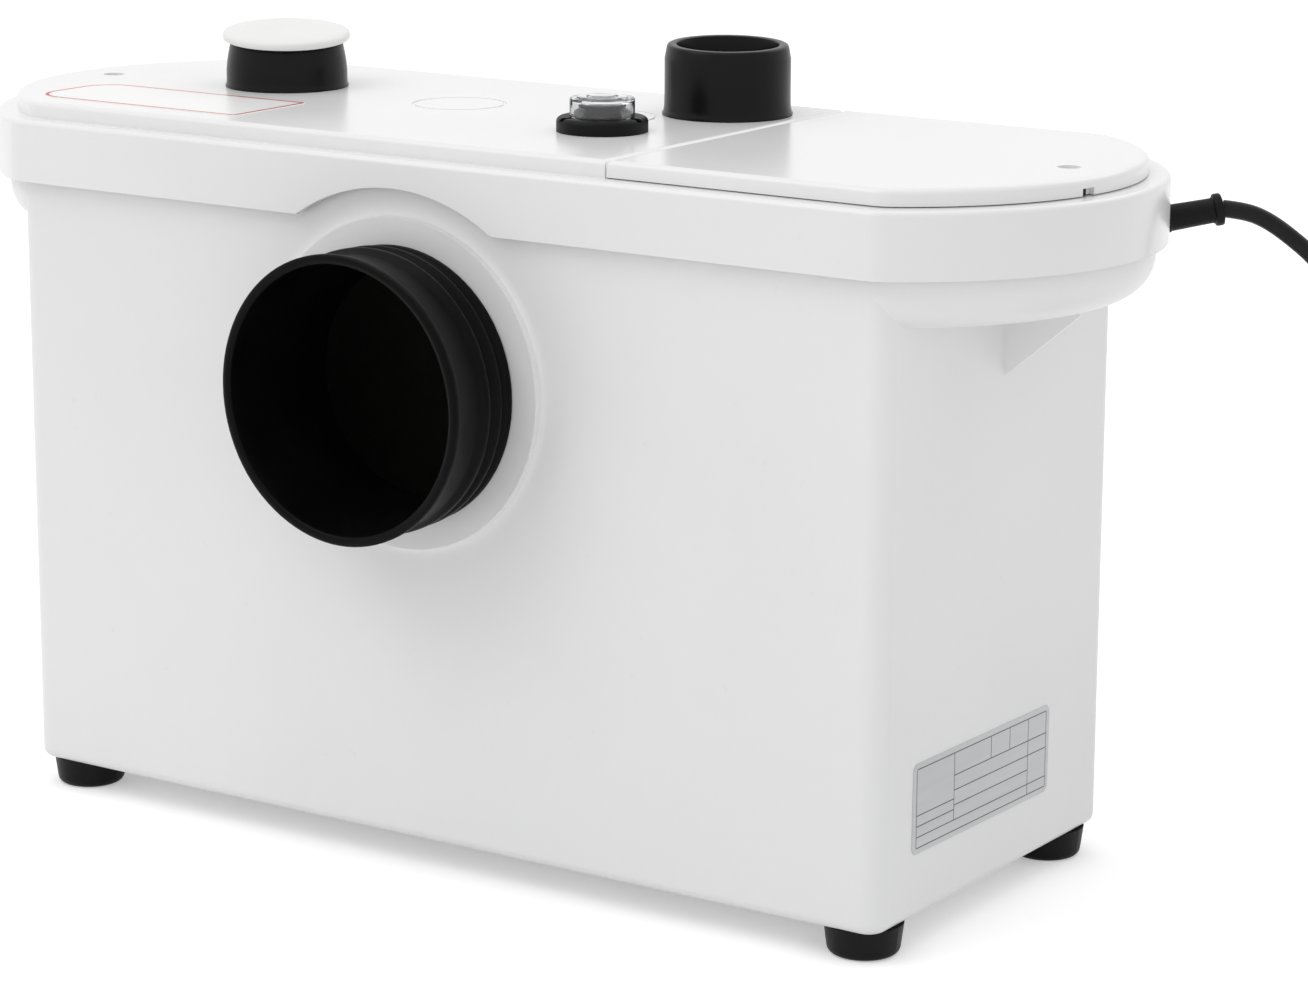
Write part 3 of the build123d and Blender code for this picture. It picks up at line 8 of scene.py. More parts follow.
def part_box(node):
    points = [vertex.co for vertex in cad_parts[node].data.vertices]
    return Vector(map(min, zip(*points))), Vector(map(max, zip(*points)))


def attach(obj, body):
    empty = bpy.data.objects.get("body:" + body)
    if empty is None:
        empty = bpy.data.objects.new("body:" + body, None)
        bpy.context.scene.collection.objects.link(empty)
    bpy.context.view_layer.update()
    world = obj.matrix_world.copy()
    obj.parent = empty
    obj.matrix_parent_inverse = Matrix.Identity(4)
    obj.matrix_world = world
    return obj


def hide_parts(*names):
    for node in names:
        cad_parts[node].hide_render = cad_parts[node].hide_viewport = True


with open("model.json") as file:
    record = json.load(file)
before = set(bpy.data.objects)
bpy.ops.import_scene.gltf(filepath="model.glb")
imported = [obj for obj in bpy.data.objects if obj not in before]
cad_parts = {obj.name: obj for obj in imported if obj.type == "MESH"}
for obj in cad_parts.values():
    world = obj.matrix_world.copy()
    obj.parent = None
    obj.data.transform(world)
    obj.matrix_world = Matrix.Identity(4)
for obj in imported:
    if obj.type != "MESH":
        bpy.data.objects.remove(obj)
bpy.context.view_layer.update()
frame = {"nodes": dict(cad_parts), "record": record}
scene = bpy.context.scene
record = frame["record"]
mm = 0.001
mmPerMetre = 1000
rightWay = Vector((1, 0, 0))
upWay = Vector((0, 0, 1))
print("frame loaded")


# shader helpers

class Wire:
    # a node's output that takes part in sums
    def __init__(self, maker, socket):
        self.maker = maker
        self.socket = socket

    def mathNode(self, how, other):
        return self.maker.add("ShaderNodeMath", {"operation": how}, {0: self, 1: other})

    def __add__(self, other):
        return self.mathNode("ADD", other)

    def __sub__(self, other):
        return self.mathNode("SUBTRACT", other)

    def __mul__(self, other):
        return self.mathNode("MULTIPLY", other)

    def __pow__(self, other):
        return self.mathNode("POWER", other)

    def __gt__(self, other):
        return self.mathNode("GREATER_THAN", other)

    def __lt__(self, other):
        return self.mathNode("LESS_THAN", other)


class Finish:
    # one material and what its shader is wired from
    def __init__(self, name):
        self.material = bpy.data.materials.new(name)
        self.material.use_nodes = True
        self.nodes = self.material.node_tree.nodes
        self.links = self.material.node_tree.links
        self.shader = self.nodes["Principled BSDF"]
        self.place = self.add("ShaderNodeTexCoord", {}, {}, "Object")

    def add(self, kind, settings, sockets, output=0):
        made = self.nodes.new(kind)
        for key, value in settings.items():
            setattr(made, key, value)
        for key, value in sockets.items():
            self.put(made.inputs[key], value)
        return Wire(self, made.outputs[output])

    def put(self, socket, value):
        if isinstance(value, Wire):
            self.links.new(value.socket, socket)
        elif isinstance(value, tuple) and len(value) < len(socket.default_value):
            socket.default_value = (*value, 1)
        else:
            socket.default_value = value

    def surface(self, **sockets):
        names = {"colour": "Base Color", "rough": "Roughness", "metal": "Metallic", "ior": "IOR",
                 "glass": "Transmission Weight", "specular": "Specular IOR Level",
                 "normal": "Normal"}
        for key, value in sockets.items():
            self.put(self.shader.inputs[names[key]], value)
        return self.material

    def noise(self, scale, detail=3, spread=0.5, stretch=None):
        where = self.place
        if stretch:
            where = self.add("ShaderNodeMapping", {}, {"Vector": self.place, "Scale": stretch})
        return self.add("ShaderNodeTexNoise", {}, {
            "Vector": where, "Scale": scale, "Detail": detail, "Roughness": spread})

    def ramp(self, wire, low, high):
        return self.add("ShaderNodeMapRange", {"interpolation_type": "SMOOTHSTEP"}, {
            "Value": wire, "From Min": low, "From Max": high})

    def blend(self, share, first, second):
        # the colour sockets of a mix node are 6 and 7, and its colour output is 2
        return self.add("ShaderNodeMix", {"data_type": "RGBA"}, {0: share, 6: first, 7: second}, 2)

    def bump(self, height, strength, distance, under=None):
        sockets = {"Height": height, "Strength": strength, "Distance": distance}
        if under:
            sockets["Normal"] = under
        return self.add("ShaderNodeBump", {}, sockets, "Normal")

    def away(self, wire):
        return self.add("ShaderNodeMath", {"operation": "ABSOLUTE"}, {0: wire})

    def notBelow(self, wire, least):
        return self.add("ShaderNodeMath", {"operation": "MAXIMUM"}, {0: wire, 1: least})

    def axis(self, name):
        return self.add("ShaderNodeSeparateXYZ", {}, {"Vector": self.place}, name)


# finishes: each maker takes the sizes and colours of one look

def mouldedWhite(name, look):
    # white plastic with faint clouds, specks and grain, and painted shade inside the tank's walls
    roughSpread = 0.06
    finish = Finish(name)
    cloud = finish.ramp(finish.noise(look["cloudScale"], detail=4), low=0.3, high=0.7)
    specks = finish.ramp(finish.noise(look["speckScale"], detail=2), low=0.72, high=0.8)
    colour = finish.blend(cloud, look["colour"], look["shade"])
    colour = finish.blend(specks * look["speckShare"], colour, look["speck"])
    # painted shade: a dark colour on the faces inside the tank's walls, where the closed tank is
    # unlit
    if "inside" in look:
        insideShadeMask = look["stainShare"]
        for axis, low, high in look["inside"]:
            place = finish.axis(axis)
            insideShadeMask = (place > low) * (place < high) * insideShadeMask
        colour = finish.blend(insideShadeMask, colour, look["stain"])
    waves = finish.noise(look["waveScale"], detail=1)
    grain = finish.noise(look["grainScale"], detail=2)
    normal = finish.bump(waves, look["waveBump"], distance=0.002)
    normal = finish.bump(grain, look["grainBump"], distance=0.0002, under=normal)
    return finish.surface(colour=colour, rough=cloud * roughSpread + look["rough"], ior=1.5,
                          normal=normal)


def softBlack(name, look):
    # rubber and cord sheath, with a bloom and a little dust
    roughSpread = 0.12
    finish = Finish(name)
    cloud = finish.ramp(finish.noise(look["cloudScale"], detail=4), low=0.3, high=0.75)
    dust = finish.noise(look["dustScale"], detail=6, spread=0.7)
    dust = finish.ramp(dust, low=0.58, high=0.8)
    colour = finish.blend(cloud, look["colour"], look["bloom"])
    colour = finish.blend(dust * look["dustShare"], colour, look["dust"])
    normal = finish.bump(finish.noise(look["grainScale"]), look["grainBump"], distance=0.0003)
    return finish.surface(colour=colour, rough=cloud * roughSpread + look["rough"],
                          specular=look["specular"], normal=normal)


def hardBlack(name, look):
    # black plastic with long scuffs
    roughSpread, scuffShare = 0.2, 0.4
    finish = Finish(name)
    scuffs = finish.noise(look["scuffScale"], detail=5, spread=0.7, stretch=(1, 1, 0.15))
    scuffs = finish.ramp(scuffs, low=0.6, high=0.78)
    colour = finish.blend(scuffs * scuffShare, look["colour"], look["scuff"])
    normal = finish.bump(finish.noise(look["cloudScale"]), look["bump"], distance=0.001)
    return finish.surface(colour=colour, rough=scuffs * roughSpread + look["rough"],
                          specular=look["specular"], normal=normal)


def brushedMetal(name, look):
    # metal with streaks along the look's stretch, and stains
    roughSpread = 0.18
    finish = Finish(name)
    streaks = finish.noise(look["streakScale"], spread=0.6, stretch=look["stretch"])
    stain = finish.ramp(finish.noise(look["stainScale"], detail=4), low=0.45, high=0.75)
    colour = finish.blend(stain, look["colour"], look["stain"])
    normal = finish.bump(streaks, look["bump"], distance=0.0003)
    return finish.surface(colour=colour, metal=1.0, rough=streaks * roughSpread + look["rough"],
                          normal=normal)


def banded(name, look):
    # laminations, or wire wound in rows, as even bands along one axis
    roughSpread = 0.15
    finish = Finish(name)
    wave = finish.add("ShaderNodeTexWave", {"bands_direction": look["axis"]}, {
        "Vector": finish.place, "Scale": look["bandScale"], "Distortion": look["wander"]})
    colour = finish.blend(wave, look["colour"], look["shade"])
    normal = finish.bump(wave, look["bump"], distance=0.0005)
    return finish.surface(colour=colour, metal=look["metal"],
                          rough=wave * roughSpread + look["rough"], normal=normal)


def mouldedPlain(name, look):
    # plain plastic with faint clouds and grain
    roughSpread = 0.1
    finish = Finish(name)
    cloud = finish.ramp(finish.noise(look["cloudScale"], detail=4), low=0.3, high=0.7)
    grain = finish.noise(look["grainScale"], detail=2)
    colour = finish.blend(cloud, look["colour"], look["shade"])
    normal = finish.bump(grain, look["grainBump"], distance=0.0003)
    return finish.surface(colour=colour, rough=cloud * roughSpread + look["rough"], normal=normal)


def clearMoulding(name, look):
    # clear plastic with a little haze
    roughSpread = 0.08
    finish = Finish(name)
    haze = finish.ramp(finish.noise(look["hazeScale"]), low=0.3, high=0.8)
    waves = finish.noise(look["waveScale"], detail=2)
    colour = finish.blend(haze, look["colour"], look["haze"])
    normal = finish.bump(waves, look["bump"], distance=0.0005)
    return finish.surface(colour=colour, rough=haze * roughSpread + look["rough"],
                          glass=look["glass"], ior=1.49, specular=look["specular"], normal=normal)


def ruledPlate(name, look):
    # a plain printed grid on a silver plate that stands in the y, z plane, its sizes in mm
    roughSpread, anyLine = 0.1, 0.5
    finish = Finish(name)
    across = (finish.axis("Y") - look["middle"][1]) * mmPerMetre
    up = (finish.axis("Z") - look["middle"][2]) * mmPerMetre + across * look["lean"]
    lines = 0.0
    for place, height, halfRun, halfRise in look["rules"]:
        near = finish.away(across - place) < halfRun
        lines = near * (finish.away(up - height) < halfRise) + lines
    streaks = finish.noise(scale=400, spread=0.6, stretch=(1, 0.05, 1))
    colour = finish.blend(streaks, look["colour"], look["shade"])
    colour = finish.blend(lines > anyLine, colour, look["ink"])
    normal = finish.bump(streaks, strength=0.05, distance=0.0002)
    return finish.surface(colour=colour, metal=0.3, rough=streaks * roughSpread + look["rough"],
                          normal=normal)


def keylined(name, look):
    # a blank white sticker with one thin coloured line along its edge, its right corners tighter;
    # sizes in mm
    roughSpread = 0.08
    finish = Finish(name)
    leftHalf = finish.axis("X") < look["middle"][0]
    corner = leftHalf * (look["corner"] - look["tightCorner"]) + look["tightCorner"]
    past = []
    for number, axis in enumerate("XY"):
        place = (finish.axis(axis) - look["middle"][number]) * mmPerMetre
        past.append(finish.notBelow(finish.away(place) - look["half"][number] + corner, 0.0))
    away = (past[0] ** 2.0 + past[1] ** 2.0) ** 0.5
    line = (away > corner - look["inset"] - look["line"]) * (away < corner - look["inset"])
    fibre = finish.noise(scale=500)
    colour = finish.blend(line, look["colour"], look["ink"])
    normal = finish.bump(fibre, strength=0.04, distance=0.0002)
    return finish.surface(colour=colour, rough=fibre * roughSpread + look["rough"], normal=normal)


def paintedHead(name, look):
    # pale paint, with painted shade down in the cross recess: a near-black colour on its faces
    roughSpread = 0.1
    finish = Finish(name)
    side = finish.axis("X") - look["middle"][0]
    drop = finish.axis("Y") - look["middle"][1]
    height = finish.axis("Z") - look["middle"][2]
    near = (side ** 2.0 + drop ** 2.0) ** 0.5 < look["reach"]
    deep = (height < 0.0) * (height > -look["depth"])
    cloud = finish.noise(scale=300)
    # painted shade: the faces down in the cross recess get the near-black colour
    colour = finish.blend(near * deep, look["colour"], look["recessShade"])
    return finish.surface(colour=colour, rough=cloud * roughSpread + look["rough"])


finishes = {
    "tank_white": mouldedWhite("tank_white", {
        "colour": (0.87, 0.87, 0.868), "shade": (0.84, 0.842, 0.842),
        "speck": (0.6, 0.59, 0.57), "speckShare": 0.12, "cloudScale": 6, "speckScale": 260,
        "grainScale": 900, "grainBump": 0.12, "waveScale": 5, "waveBump": 0.03, "rough": 0.34,
        # painted shade for the dark inside of the tank, within the given inside ranges
        "stain": (0.1, 0.095, 0.085), "stainShare": 0.9,
        "inside": (("X", -0.194, 0.194), ("Y", -0.0646, 0.0992), ("Z", 0.0141, 0.262))}),
    "lid_white": mouldedWhite("lid_white", {
        "colour": (0.865, 0.865, 0.862), "shade": (0.84, 0.84, 0.84),
        "speck": (0.62, 0.6, 0.58), "speckShare": 0.1, "cloudScale": 7, "speckScale": 240,
        "grainScale": 800, "grainBump": 0.05, "waveScale": 9, "waveBump": 0.06, "rough": 0.2}),
    "soft_black": softBlack("soft_black", {
        "colour": (0.0035, 0.0035, 0.0038), "bloom": (0.007, 0.007, 0.0075),
        "dust": (0.05, 0.05, 0.05), "dustShare": 0.08, "cloudScale": 30, "dustScale": 60,
        "grainScale": 700, "grainBump": 0.25, "rough": 0.4, "specular": 0.14}),
    "hard_black": hardBlack("hard_black", {
        "colour": (0.0035, 0.0035, 0.0036), "scuff": (0.014, 0.014, 0.0145),
        "scuffScale": 90, "cloudScale": 60, "bump": 0.12, "rough": 0.3, "specular": 0.16}),
    "cord_black": softBlack("cord_black", {
        "colour": (0.004, 0.004, 0.0043), "bloom": (0.008, 0.008, 0.0085),
        "dust": (0.05, 0.05, 0.05), "dustShare": 0.07, "cloudScale": 50, "dustScale": 90,
        "grainScale": 900, "grainBump": 0.15, "rough": 0.36, "specular": 0.2}),
    "clear_plastic": clearMoulding("clear_plastic", {
        "colour": (0.93, 0.94, 0.95), "haze": (0.86, 0.88, 0.9), "hazeScale": 120,
        "waveScale": 160, "bump": 0.1, "rough": 0.03, "glass": 0.985, "specular": 0.22}),
    "pale_plastic": mouldedPlain("pale_plastic", {
        "colour": (0.74, 0.74, 0.71), "shade": (0.66, 0.66, 0.63), "cloudScale": 30,
        "grainScale": 600, "grainBump": 0.12, "rough": 0.4}),
    "grey_plastic": mouldedPlain("grey_plastic", {
        "colour": (0.3, 0.31, 0.33), "shade": (0.24, 0.25, 0.27), "cloudScale": 20,
        "grainScale": 500, "grainBump": 0.15, "rough": 0.42}),
    "dark_plastic": mouldedPlain("dark_plastic", {
        "colour": (0.06, 0.06, 0.065), "shade": (0.09, 0.09, 0.095), "cloudScale": 40,
        "grainScale": 700, "grainBump": 0.2, "rough": 0.45}),
    "steel": brushedMetal("steel", {
        "colour": (0.6, 0.6, 0.61), "stain": (0.48, 0.47, 0.46), "streakScale": 300,
        "stretch": (1, 1, 8), "stainScale": 60, "bump": 0.12, "rough": 0.24}),
    "housing_metal": brushedMetal("housing_metal", {
        "colour": (0.55, 0.56, 0.58), "stain": (0.45, 0.46, 0.48), "streakScale": 220,
        "stretch": (1, 1, 1), "stainScale": 20, "bump": 0.3, "rough": 0.42}),
    "core_steel": banded("core_steel", {
        "colour": (0.24, 0.24, 0.25), "shade": (0.13, 0.13, 0.135), "axis": "Z",
        "bandScale": 300, "wander": 0.2, "metal": 1.0, "bump": 0.3, "rough": 0.45}),
    "copper": banded("copper", {
        "colour": (0.62, 0.26, 0.1), "shade": (0.3, 0.1, 0.035), "axis": "DIAGONAL",
        "bandScale": 150, "wander": 2.5, "metal": 0.8, "bump": 0.5, "rough": 0.3}),
    "seal_carbon": mouldedPlain("seal_carbon", {
        "colour": (0.05, 0.05, 0.052), "shade": (0.08, 0.08, 0.082), "cloudScale": 90,
        "grainScale": 900, "grainBump": 0.06, "rough": 0.22}),
    "capacitor_white": mouldedPlain("capacitor_white", {
        "colour": (0.7, 0.7, 0.68), "shade": (0.64, 0.64, 0.62), "cloudScale": 30,
        "grainScale": 500, "grainBump": 0.05, "rough": 0.25}),
    "pin_brass": brushedMetal("pin_brass", {
        "colour": (0.72, 0.66, 0.5), "stain": (0.6, 0.5, 0.3), "streakScale": 300,
        "stretch": (1, 1, 1), "stainScale": 120, "bump": 0.08, "rough": 0.2}),
}
slotOf = {entry["node"]: entry["material_slot"] for entry in record["subparts"]}
for nodeName, piece in frame["nodes"].items():
    material = finishes[slotOf[nodeName]]
    for slot in piece.material_slots:
        slot.material = material
    if not piece.material_slots:
        piece.data.materials.append(material)
print("finishes made", len(finishes))


# ways of making pieces

def startClean():
    if bpy.context.object and bpy.context.object.mode != "OBJECT":
        bpy.ops.object.mode_set(mode="OBJECT")
    bpy.ops.object.select_all(action="DESELECT")


def activate(piece):
    startClean()
    piece.select_set(True)
    bpy.context.view_layer.objects.active = piece


def middleOf(box):
    return [(low + high) / 2 for low, high in zip(*box)]


def settle(piece, name, slot, smooth=35):
    # place goes into the mesh, then the piece rides and takes its finish
    weldGap = 0.000001
    activate(piece)
    bpy.ops.object.transform_apply(location=True, rotation=True, scale=True)
    bpy.ops.object.mode_set(mode="EDIT")
    bpy.ops.mesh.select_all(action="SELECT")
    bpy.ops.mesh.remove_doubles(threshold=weldGap)
    bpy.ops.mesh.normals_make_consistent(inside=False)
    bpy.ops.object.mode_set(mode="OBJECT")
    bpy.ops.object.shade_smooth_by_angle(angle=radians(smooth))
    piece.name = name
    piece.data.materials.clear()
    piece.data.materials.append(finishes[slot])
    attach(piece, "pump")


def turnedPiece(profile, sides=64):
    # drawn up ring by ring from (radius, height) pairs in mm; a profile that comes back to its
    # start is a tube
    startClean()
    fill = "NOTHING" if profile[0] == profile[-1] else "NGON"
    radius, height = profile[0]
    bpy.ops.mesh.primitive_circle_add(vertices=sides, radius=radius * mm, fill_type=fill,
                                      location=(0, 0, 0))
    piece = bpy.context.object
    bpy.ops.object.mode_set(mode="EDIT")
    bpy.ops.mesh.select_all(action="SELECT")
    bpy.ops.transform.translate(value=(0, 0, height * mm))
    for nextRadius, nextHeight in profile[1:]:
        rise = (nextHeight - height) * mm
        bpy.ops.mesh.extrude_region_move(TRANSFORM_OT_translate={"value": (0, 0, rise)})
        share = nextRadius / radius
        bpy.ops.transform.resize(value=(share, share, 1), center_override=(0, 0, nextHeight * mm))
        radius, height = nextRadius, nextHeight
    bpy.ops.object.mode_set(mode="OBJECT")
    return piece


def flatPlane(length, width):
    # a plane of these sizes in mm, left selected
    startClean()
    bpy.ops.mesh.primitive_plane_add(size=1, location=(0, 0, 0))
    piece = bpy.context.object
    piece.scale = (length * mm, width * mm, 1)
    bpy.ops.object.transform_apply(location=False, rotation=False, scale=True)
    return piece


def roundedPlate(look):
    # a thin plate with round corners and a soft edge, lying face up at the origin
    nearlyAll = 0.999
    piece = flatPlane(look["length"], look["width"])
    for sideSign, corner in ((-1, look["corner"]), (1, look["tightCorner"])):
        bpy.ops.object.mode_set(mode="EDIT")
        bpy.ops.mesh.select_all(action="DESELECT")
        bpy.ops.object.mode_set(mode="OBJECT")
        for vertex in piece.data.vertices:
            vertex.select = vertex.co.x * sideSign > look["length"] / 2 * mm * nearlyAll
        bpy.ops.object.mode_set(mode="EDIT")
        bpy.ops.mesh.bevel(offset=corner * mm, segments=look["cornerSteps"], affect="VERTICES")
    bpy.ops.mesh.select_all(action="SELECT")
    bpy.ops.transform.translate(value=(0, 0, -look["sink"] * mm))
    rise = (look["sink"] + look["thickness"] - look["edge"]) * mm
    bpy.ops.mesh.extrude_region_move(TRANSFORM_OT_translate={"value": (0, 0, rise)})
    bpy.ops.mesh.inset(thickness=look["edge"] * mm, depth=look["edge"] * mm)
    bpy.ops.object.mode_set(mode="OBJECT")
    return piece


def standAt(piece, place, across, outward):
    # local x runs across and local z outward
    across, outward = Vector(across).normalized(), Vector(outward).normalized()
    turn = Matrix((across, outward.cross(across), outward)).transposed()
    piece.matrix_world = Matrix.Translation(place) @ turn.to_4x4()


def addModifier(piece, kind, settings):
    activate(piece)
    modifier = piece.modifiers.new(kind, kind)
    for key, value in settings.items():
        setattr(modifier, key, value)
    bpy.ops.object.modifier_apply(modifier=modifier.name)


# camera at the photograph's place

cameraLook = {"place": (0.875, -1.22695, 0.4864), "turn": (76.8645, -0.2414, 33.7274),
              "lens": 110.91, "sensor": 36.0, "clipEnd": 100}
cameraData = bpy.data.cameras.new("photoCamera")
cameraData.lens = cameraLook["lens"]
cameraData.sensor_width = cameraLook["sensor"]
cameraData.clip_end = cameraLook["clipEnd"]
camera = bpy.data.objects.new("photoCamera", cameraData)
camera.location = cameraLook["place"]
camera.rotation_euler = Euler([radians(angle) for angle in cameraLook["turn"]])
scene.collection.objects.link(camera)
scene.camera = camera
print("camera set")

# cord: from the gland down to the floor, round the coil and on to the plug

cordLook = {
    "exit": (0.2287111, 0.0767165, 0.2515), "angle": 36.0, "glandReach": 0.0207,
    "glandTilt": 10.0, "diameter": 0.0064, "low": 0.0041, "reach": 0.1049,
    "shares": (
        (0, 1), (0.0715, 0.9966), (0.143, 0.9859), (0.2231, 0.964), (0.3546, 0.9181),
        (0.45, 0.8492), (0.5214, 0.709), (0.5405, 0.486), (0.5408, 0.2948), (0.5462, 0.1705),
        (0.5796, 0.1032), (0.6511, 0.0506), (0.755, 0.0163), (0.8761, 0), (1, 0)),
    "coilRadius": 0.042, "coilPitch": 0.0072, "coilRise": 0.007,
    "lowerHalves": 4, "upperHalves": 3, "halfPoints": 7,
    "leadRun": 0.0176, "leadHeadings": (0, 10, 30, 52, 72, 90),
    "leadRuns": (0.9, 1, 1, 0.97, 0.92, 0.84), "leadHeights": (0, 0, 0.27, 0.7, 1, 1),
    "plugRadius": 0.019, "length": 1.29,
}
exitPoint = Vector(cordLook["exit"])
cordWay = Vector((cos(radians(cordLook["angle"])), sin(radians(cordLook["angle"])), 0))
cordSide = Vector((cordWay.y, -cordWay.x, 0))
glandRise = cordLook["glandReach"] * tan(radians(cordLook["glandTilt"]))
glandTip = exitPoint + cordWay * cordLook["glandReach"] + upWay * glandRise
lowCord = cordLook["low"]
routePoints = [
    Vector((glandTip.x, glandTip.y, lowCord)) + cordWay * (cordLook["reach"] * along)
    + upWay * ((glandTip.z - lowCord) * high) for along, high in cordLook["shares"]]
floorStart = routePoints[-1].copy()
lead = cordLook["diameter"]
halfStep = cordLook["coilPitch"] / 2
lowerRadii = [cordLook["coilRadius"] - halfStep * count
              for count in range(cordLook["lowerHalves"] + 1)]
upperRadii = [lowerRadii[-1] + halfStep * (count + 1) for count in range(cordLook["upperHalves"])]
knot = floorStart + cordWay * lead
halfPoints = cordLook["halfPoints"]
swell = 1 / cos(pi / halfPoints / 2)  # control points stand a little outside the turn
for count, radius in enumerate(lowerRadii + upperRadii):
    turnSign = (-1) ** count
    centre = knot + cordSide * (radius * turnSign)
    climb = cordLook["coilRise"] if count == cordLook["lowerHalves"] else 0
    for step in range(halfPoints):
        share = (step + 0.5) / halfPoints
        routePoints.append(
            centre - cordSide * (turnSign * radius * swell * cos(pi * share))
            + cordWay * (turnSign * radius * swell * sin(pi * share)) + upWay * (climb * share))
    knot = knot + cordSide * (2 * radius * turnSign) + upWay * climb
leadPoint = knot + cordWay * lead
leadRise = cordLook["plugRadius"] - leadPoint.z
for heading, share, high in zip(cordLook["leadHeadings"], cordLook["leadRuns"],
                                cordLook["leadHeights"]):
    way = cordWay * cos(radians(heading)) + cordSide * sin(radians(heading))
    leadPoint = leadPoint + way * (cordLook["leadRun"] * share)
    routePoints.append(leadPoint + upWay * (leadRise * high))
plugPlace = routePoints[-1]

cordCurve = bpy.data.curves.new("mainsCord", "CURVE")
cordCurve.dimensions = "3D"
cordCurve.bevel_depth = cordLook["diameter"] / 2
cordCurve.bevel_resolution = 5
cordCurve.resolution_u = 6
cordCurve.use_fill_caps = True
spline = cordCurve.splines.new("NURBS")
spline.points.add(len(routePoints) - 1)
for point, place in zip(spline.points, routePoints):
    point.co = (*place, 1)
spline.order_u = 3
spline.use_endpoint_u = True
mainsCord = bpy.data.objects.new("mainsCord", cordCurve)
scene.collection.objects.link(mainsCord)
cordCurve.materials.append(finishes["cord_black"])
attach(mainsCord, "pump")
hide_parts("cord", "cord_coil", "plug_lead")
print("cord laid, points", len(routePoints))

# strain relief: a tapered sleeve with a bead at its tip, where the cord leaves the lid

reliefProfile = (
    (4.8, -7.5), (4.85, -0.3), (5.15, 0), (5.2, 0.9), (4.9, 1.3), (4.72, 8), (4.6, 14),
    (4.58, 16.6), (4.9, 17.3), (5.7, 17.7), (5.9, 18.3), (5.9, 19.9), (5.6, 20.5), (4.7, 20.8),
    (3.8, 20.6), (3.45, 20.2))
glandTilt = radians(cordLook["glandTilt"])
reliefAxis = cordWay * cos(glandTilt) + upWay * sin(glandTilt)
strainRelief = turnedPiece(reliefProfile)
standAt(strainRelief, exitPoint, cordSide, reliefAxis)
settle(strainRelief, "strainRelief", "soft_black")
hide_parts("cord_gland")

# plug: ribbed neck, waisted grip and a flat face that the pins stand on; each rib is a little
# wider than the one before, and its points are steps out from its radius and on from its foot

plugLook = {
    "neckRadius": 7, "neckStart": ((-1.6, 0), (-0.3, 0.3)), "ribs": 5, "firstRib": 1,
    "ribPitch": 2.6, "ribGrowth": 0.45, "rib": ((-0.7, 0), (0, 0.5), (0.1, 1.5), (-0.4, 2)),
    "body": ((10, 18), (14.6, 18.3), (17.4, 19.4), (18.7, 21.4), (19, 24), (18.8, 28), (17.4, 32),
             (16.9, 36), (17.4, 40), (18.6, 43.5), (19, 46.5), (19, 49.8), (18.5, 51.2),
             (17.4, 51.9), (16.6, 52), (16, 51.6), (15.4, 51.6)),
}
plugProfile = [(plugLook["neckRadius"] + out, height) for out, height in plugLook["neckStart"]]
for count in range(plugLook["ribs"]):
    foot = plugLook["firstRib"] + count * plugLook["ribPitch"]
    ribRadius = plugLook["neckRadius"] + count * plugLook["ribGrowth"]
    plugProfile += [(ribRadius + out, foot + along) for out, along in plugLook["rib"]]
plugShell = turnedPiece(plugProfile + list(plugLook["body"]))
standAt(plugShell, plugPlace, cordWay, cordSide)
settle(plugShell, "plugShell", "cord_black")
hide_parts("plug_body")

# tie round the coil: a strap with round corners and a small locking head

tieLook = {"span": 21.4, "height": 14.0, "thickness": 0.6, "width": 8.0, "corner": 5.5,
           "cornerSteps": 8, "head": (8.4, 3.6, 6.4), "headEdge": 0.6, "headEdgeSteps": 3}
coilCentre = floorStart + cordWay * lead + cordSide * lowerRadii[0]
coilMiddle = (lowerRadii[0] + lowerRadii[-1]) / 2
tieSpot = coilCentre + cordWay * coilMiddle + upWay * (cordLook["coilRise"] / 2)
coilTie = flatPlane(tieLook["span"], tieLook["height"])
bpy.ops.object.mode_set(mode="EDIT")
bpy.ops.mesh.select_all(action="SELECT")
bpy.ops.transform.translate(value=(0, 0, -tieLook["width"] / 2 * mm))
bpy.ops.mesh.bevel(offset=tieLook["corner"] * mm, segments=tieLook["cornerSteps"],
                   affect="VERTICES")
bpy.ops.mesh.select_all(action="SELECT")
bpy.ops.mesh.delete(type="ONLY_FACE")
bpy.ops.mesh.select_all(action="SELECT")
bpy.ops.mesh.extrude_region_move(
    TRANSFORM_OT_translate={"value": (0, 0, tieLook["width"] * mm)})
bpy.ops.mesh.select_all(action="SELECT")
bpy.ops.mesh.normals_make_consistent(inside=False)
bpy.ops.object.mode_set(mode="OBJECT")
addModifier(coilTie, "SOLIDIFY", {"thickness": tieLook["thickness"] * mm, "offset": 1.0})
startClean()
headHeight = (tieLook["height"] / 2 + tieLook["head"][1] / 2) * mm
bpy.ops.mesh.primitive_cube_add(size=1, location=(0, headHeight, 0))
tieHead = bpy.context.object
tieHead.scale = [side * mm for side in tieLook["head"]]
bpy.ops.object.transform_apply(location=True, rotation=False, scale=True)
addModifier(tieHead, "BEVEL", {
    "width": tieLook["headEdge"] * mm, "segments": tieLook["headEdgeSteps"]})
activate(coilTie)
tieHead.select_set(True)
bpy.ops.object.join()
standAt(coilTie, tieSpot, cordWay, cordSide)
settle(coilTie, "coilTie", "pale_plastic")
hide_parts("cord_tie")
print("cord fittings made")

# inlet boot: thick rubber turned with soft ribs, a little out of round at its free mouth, which
# starts past its firm share

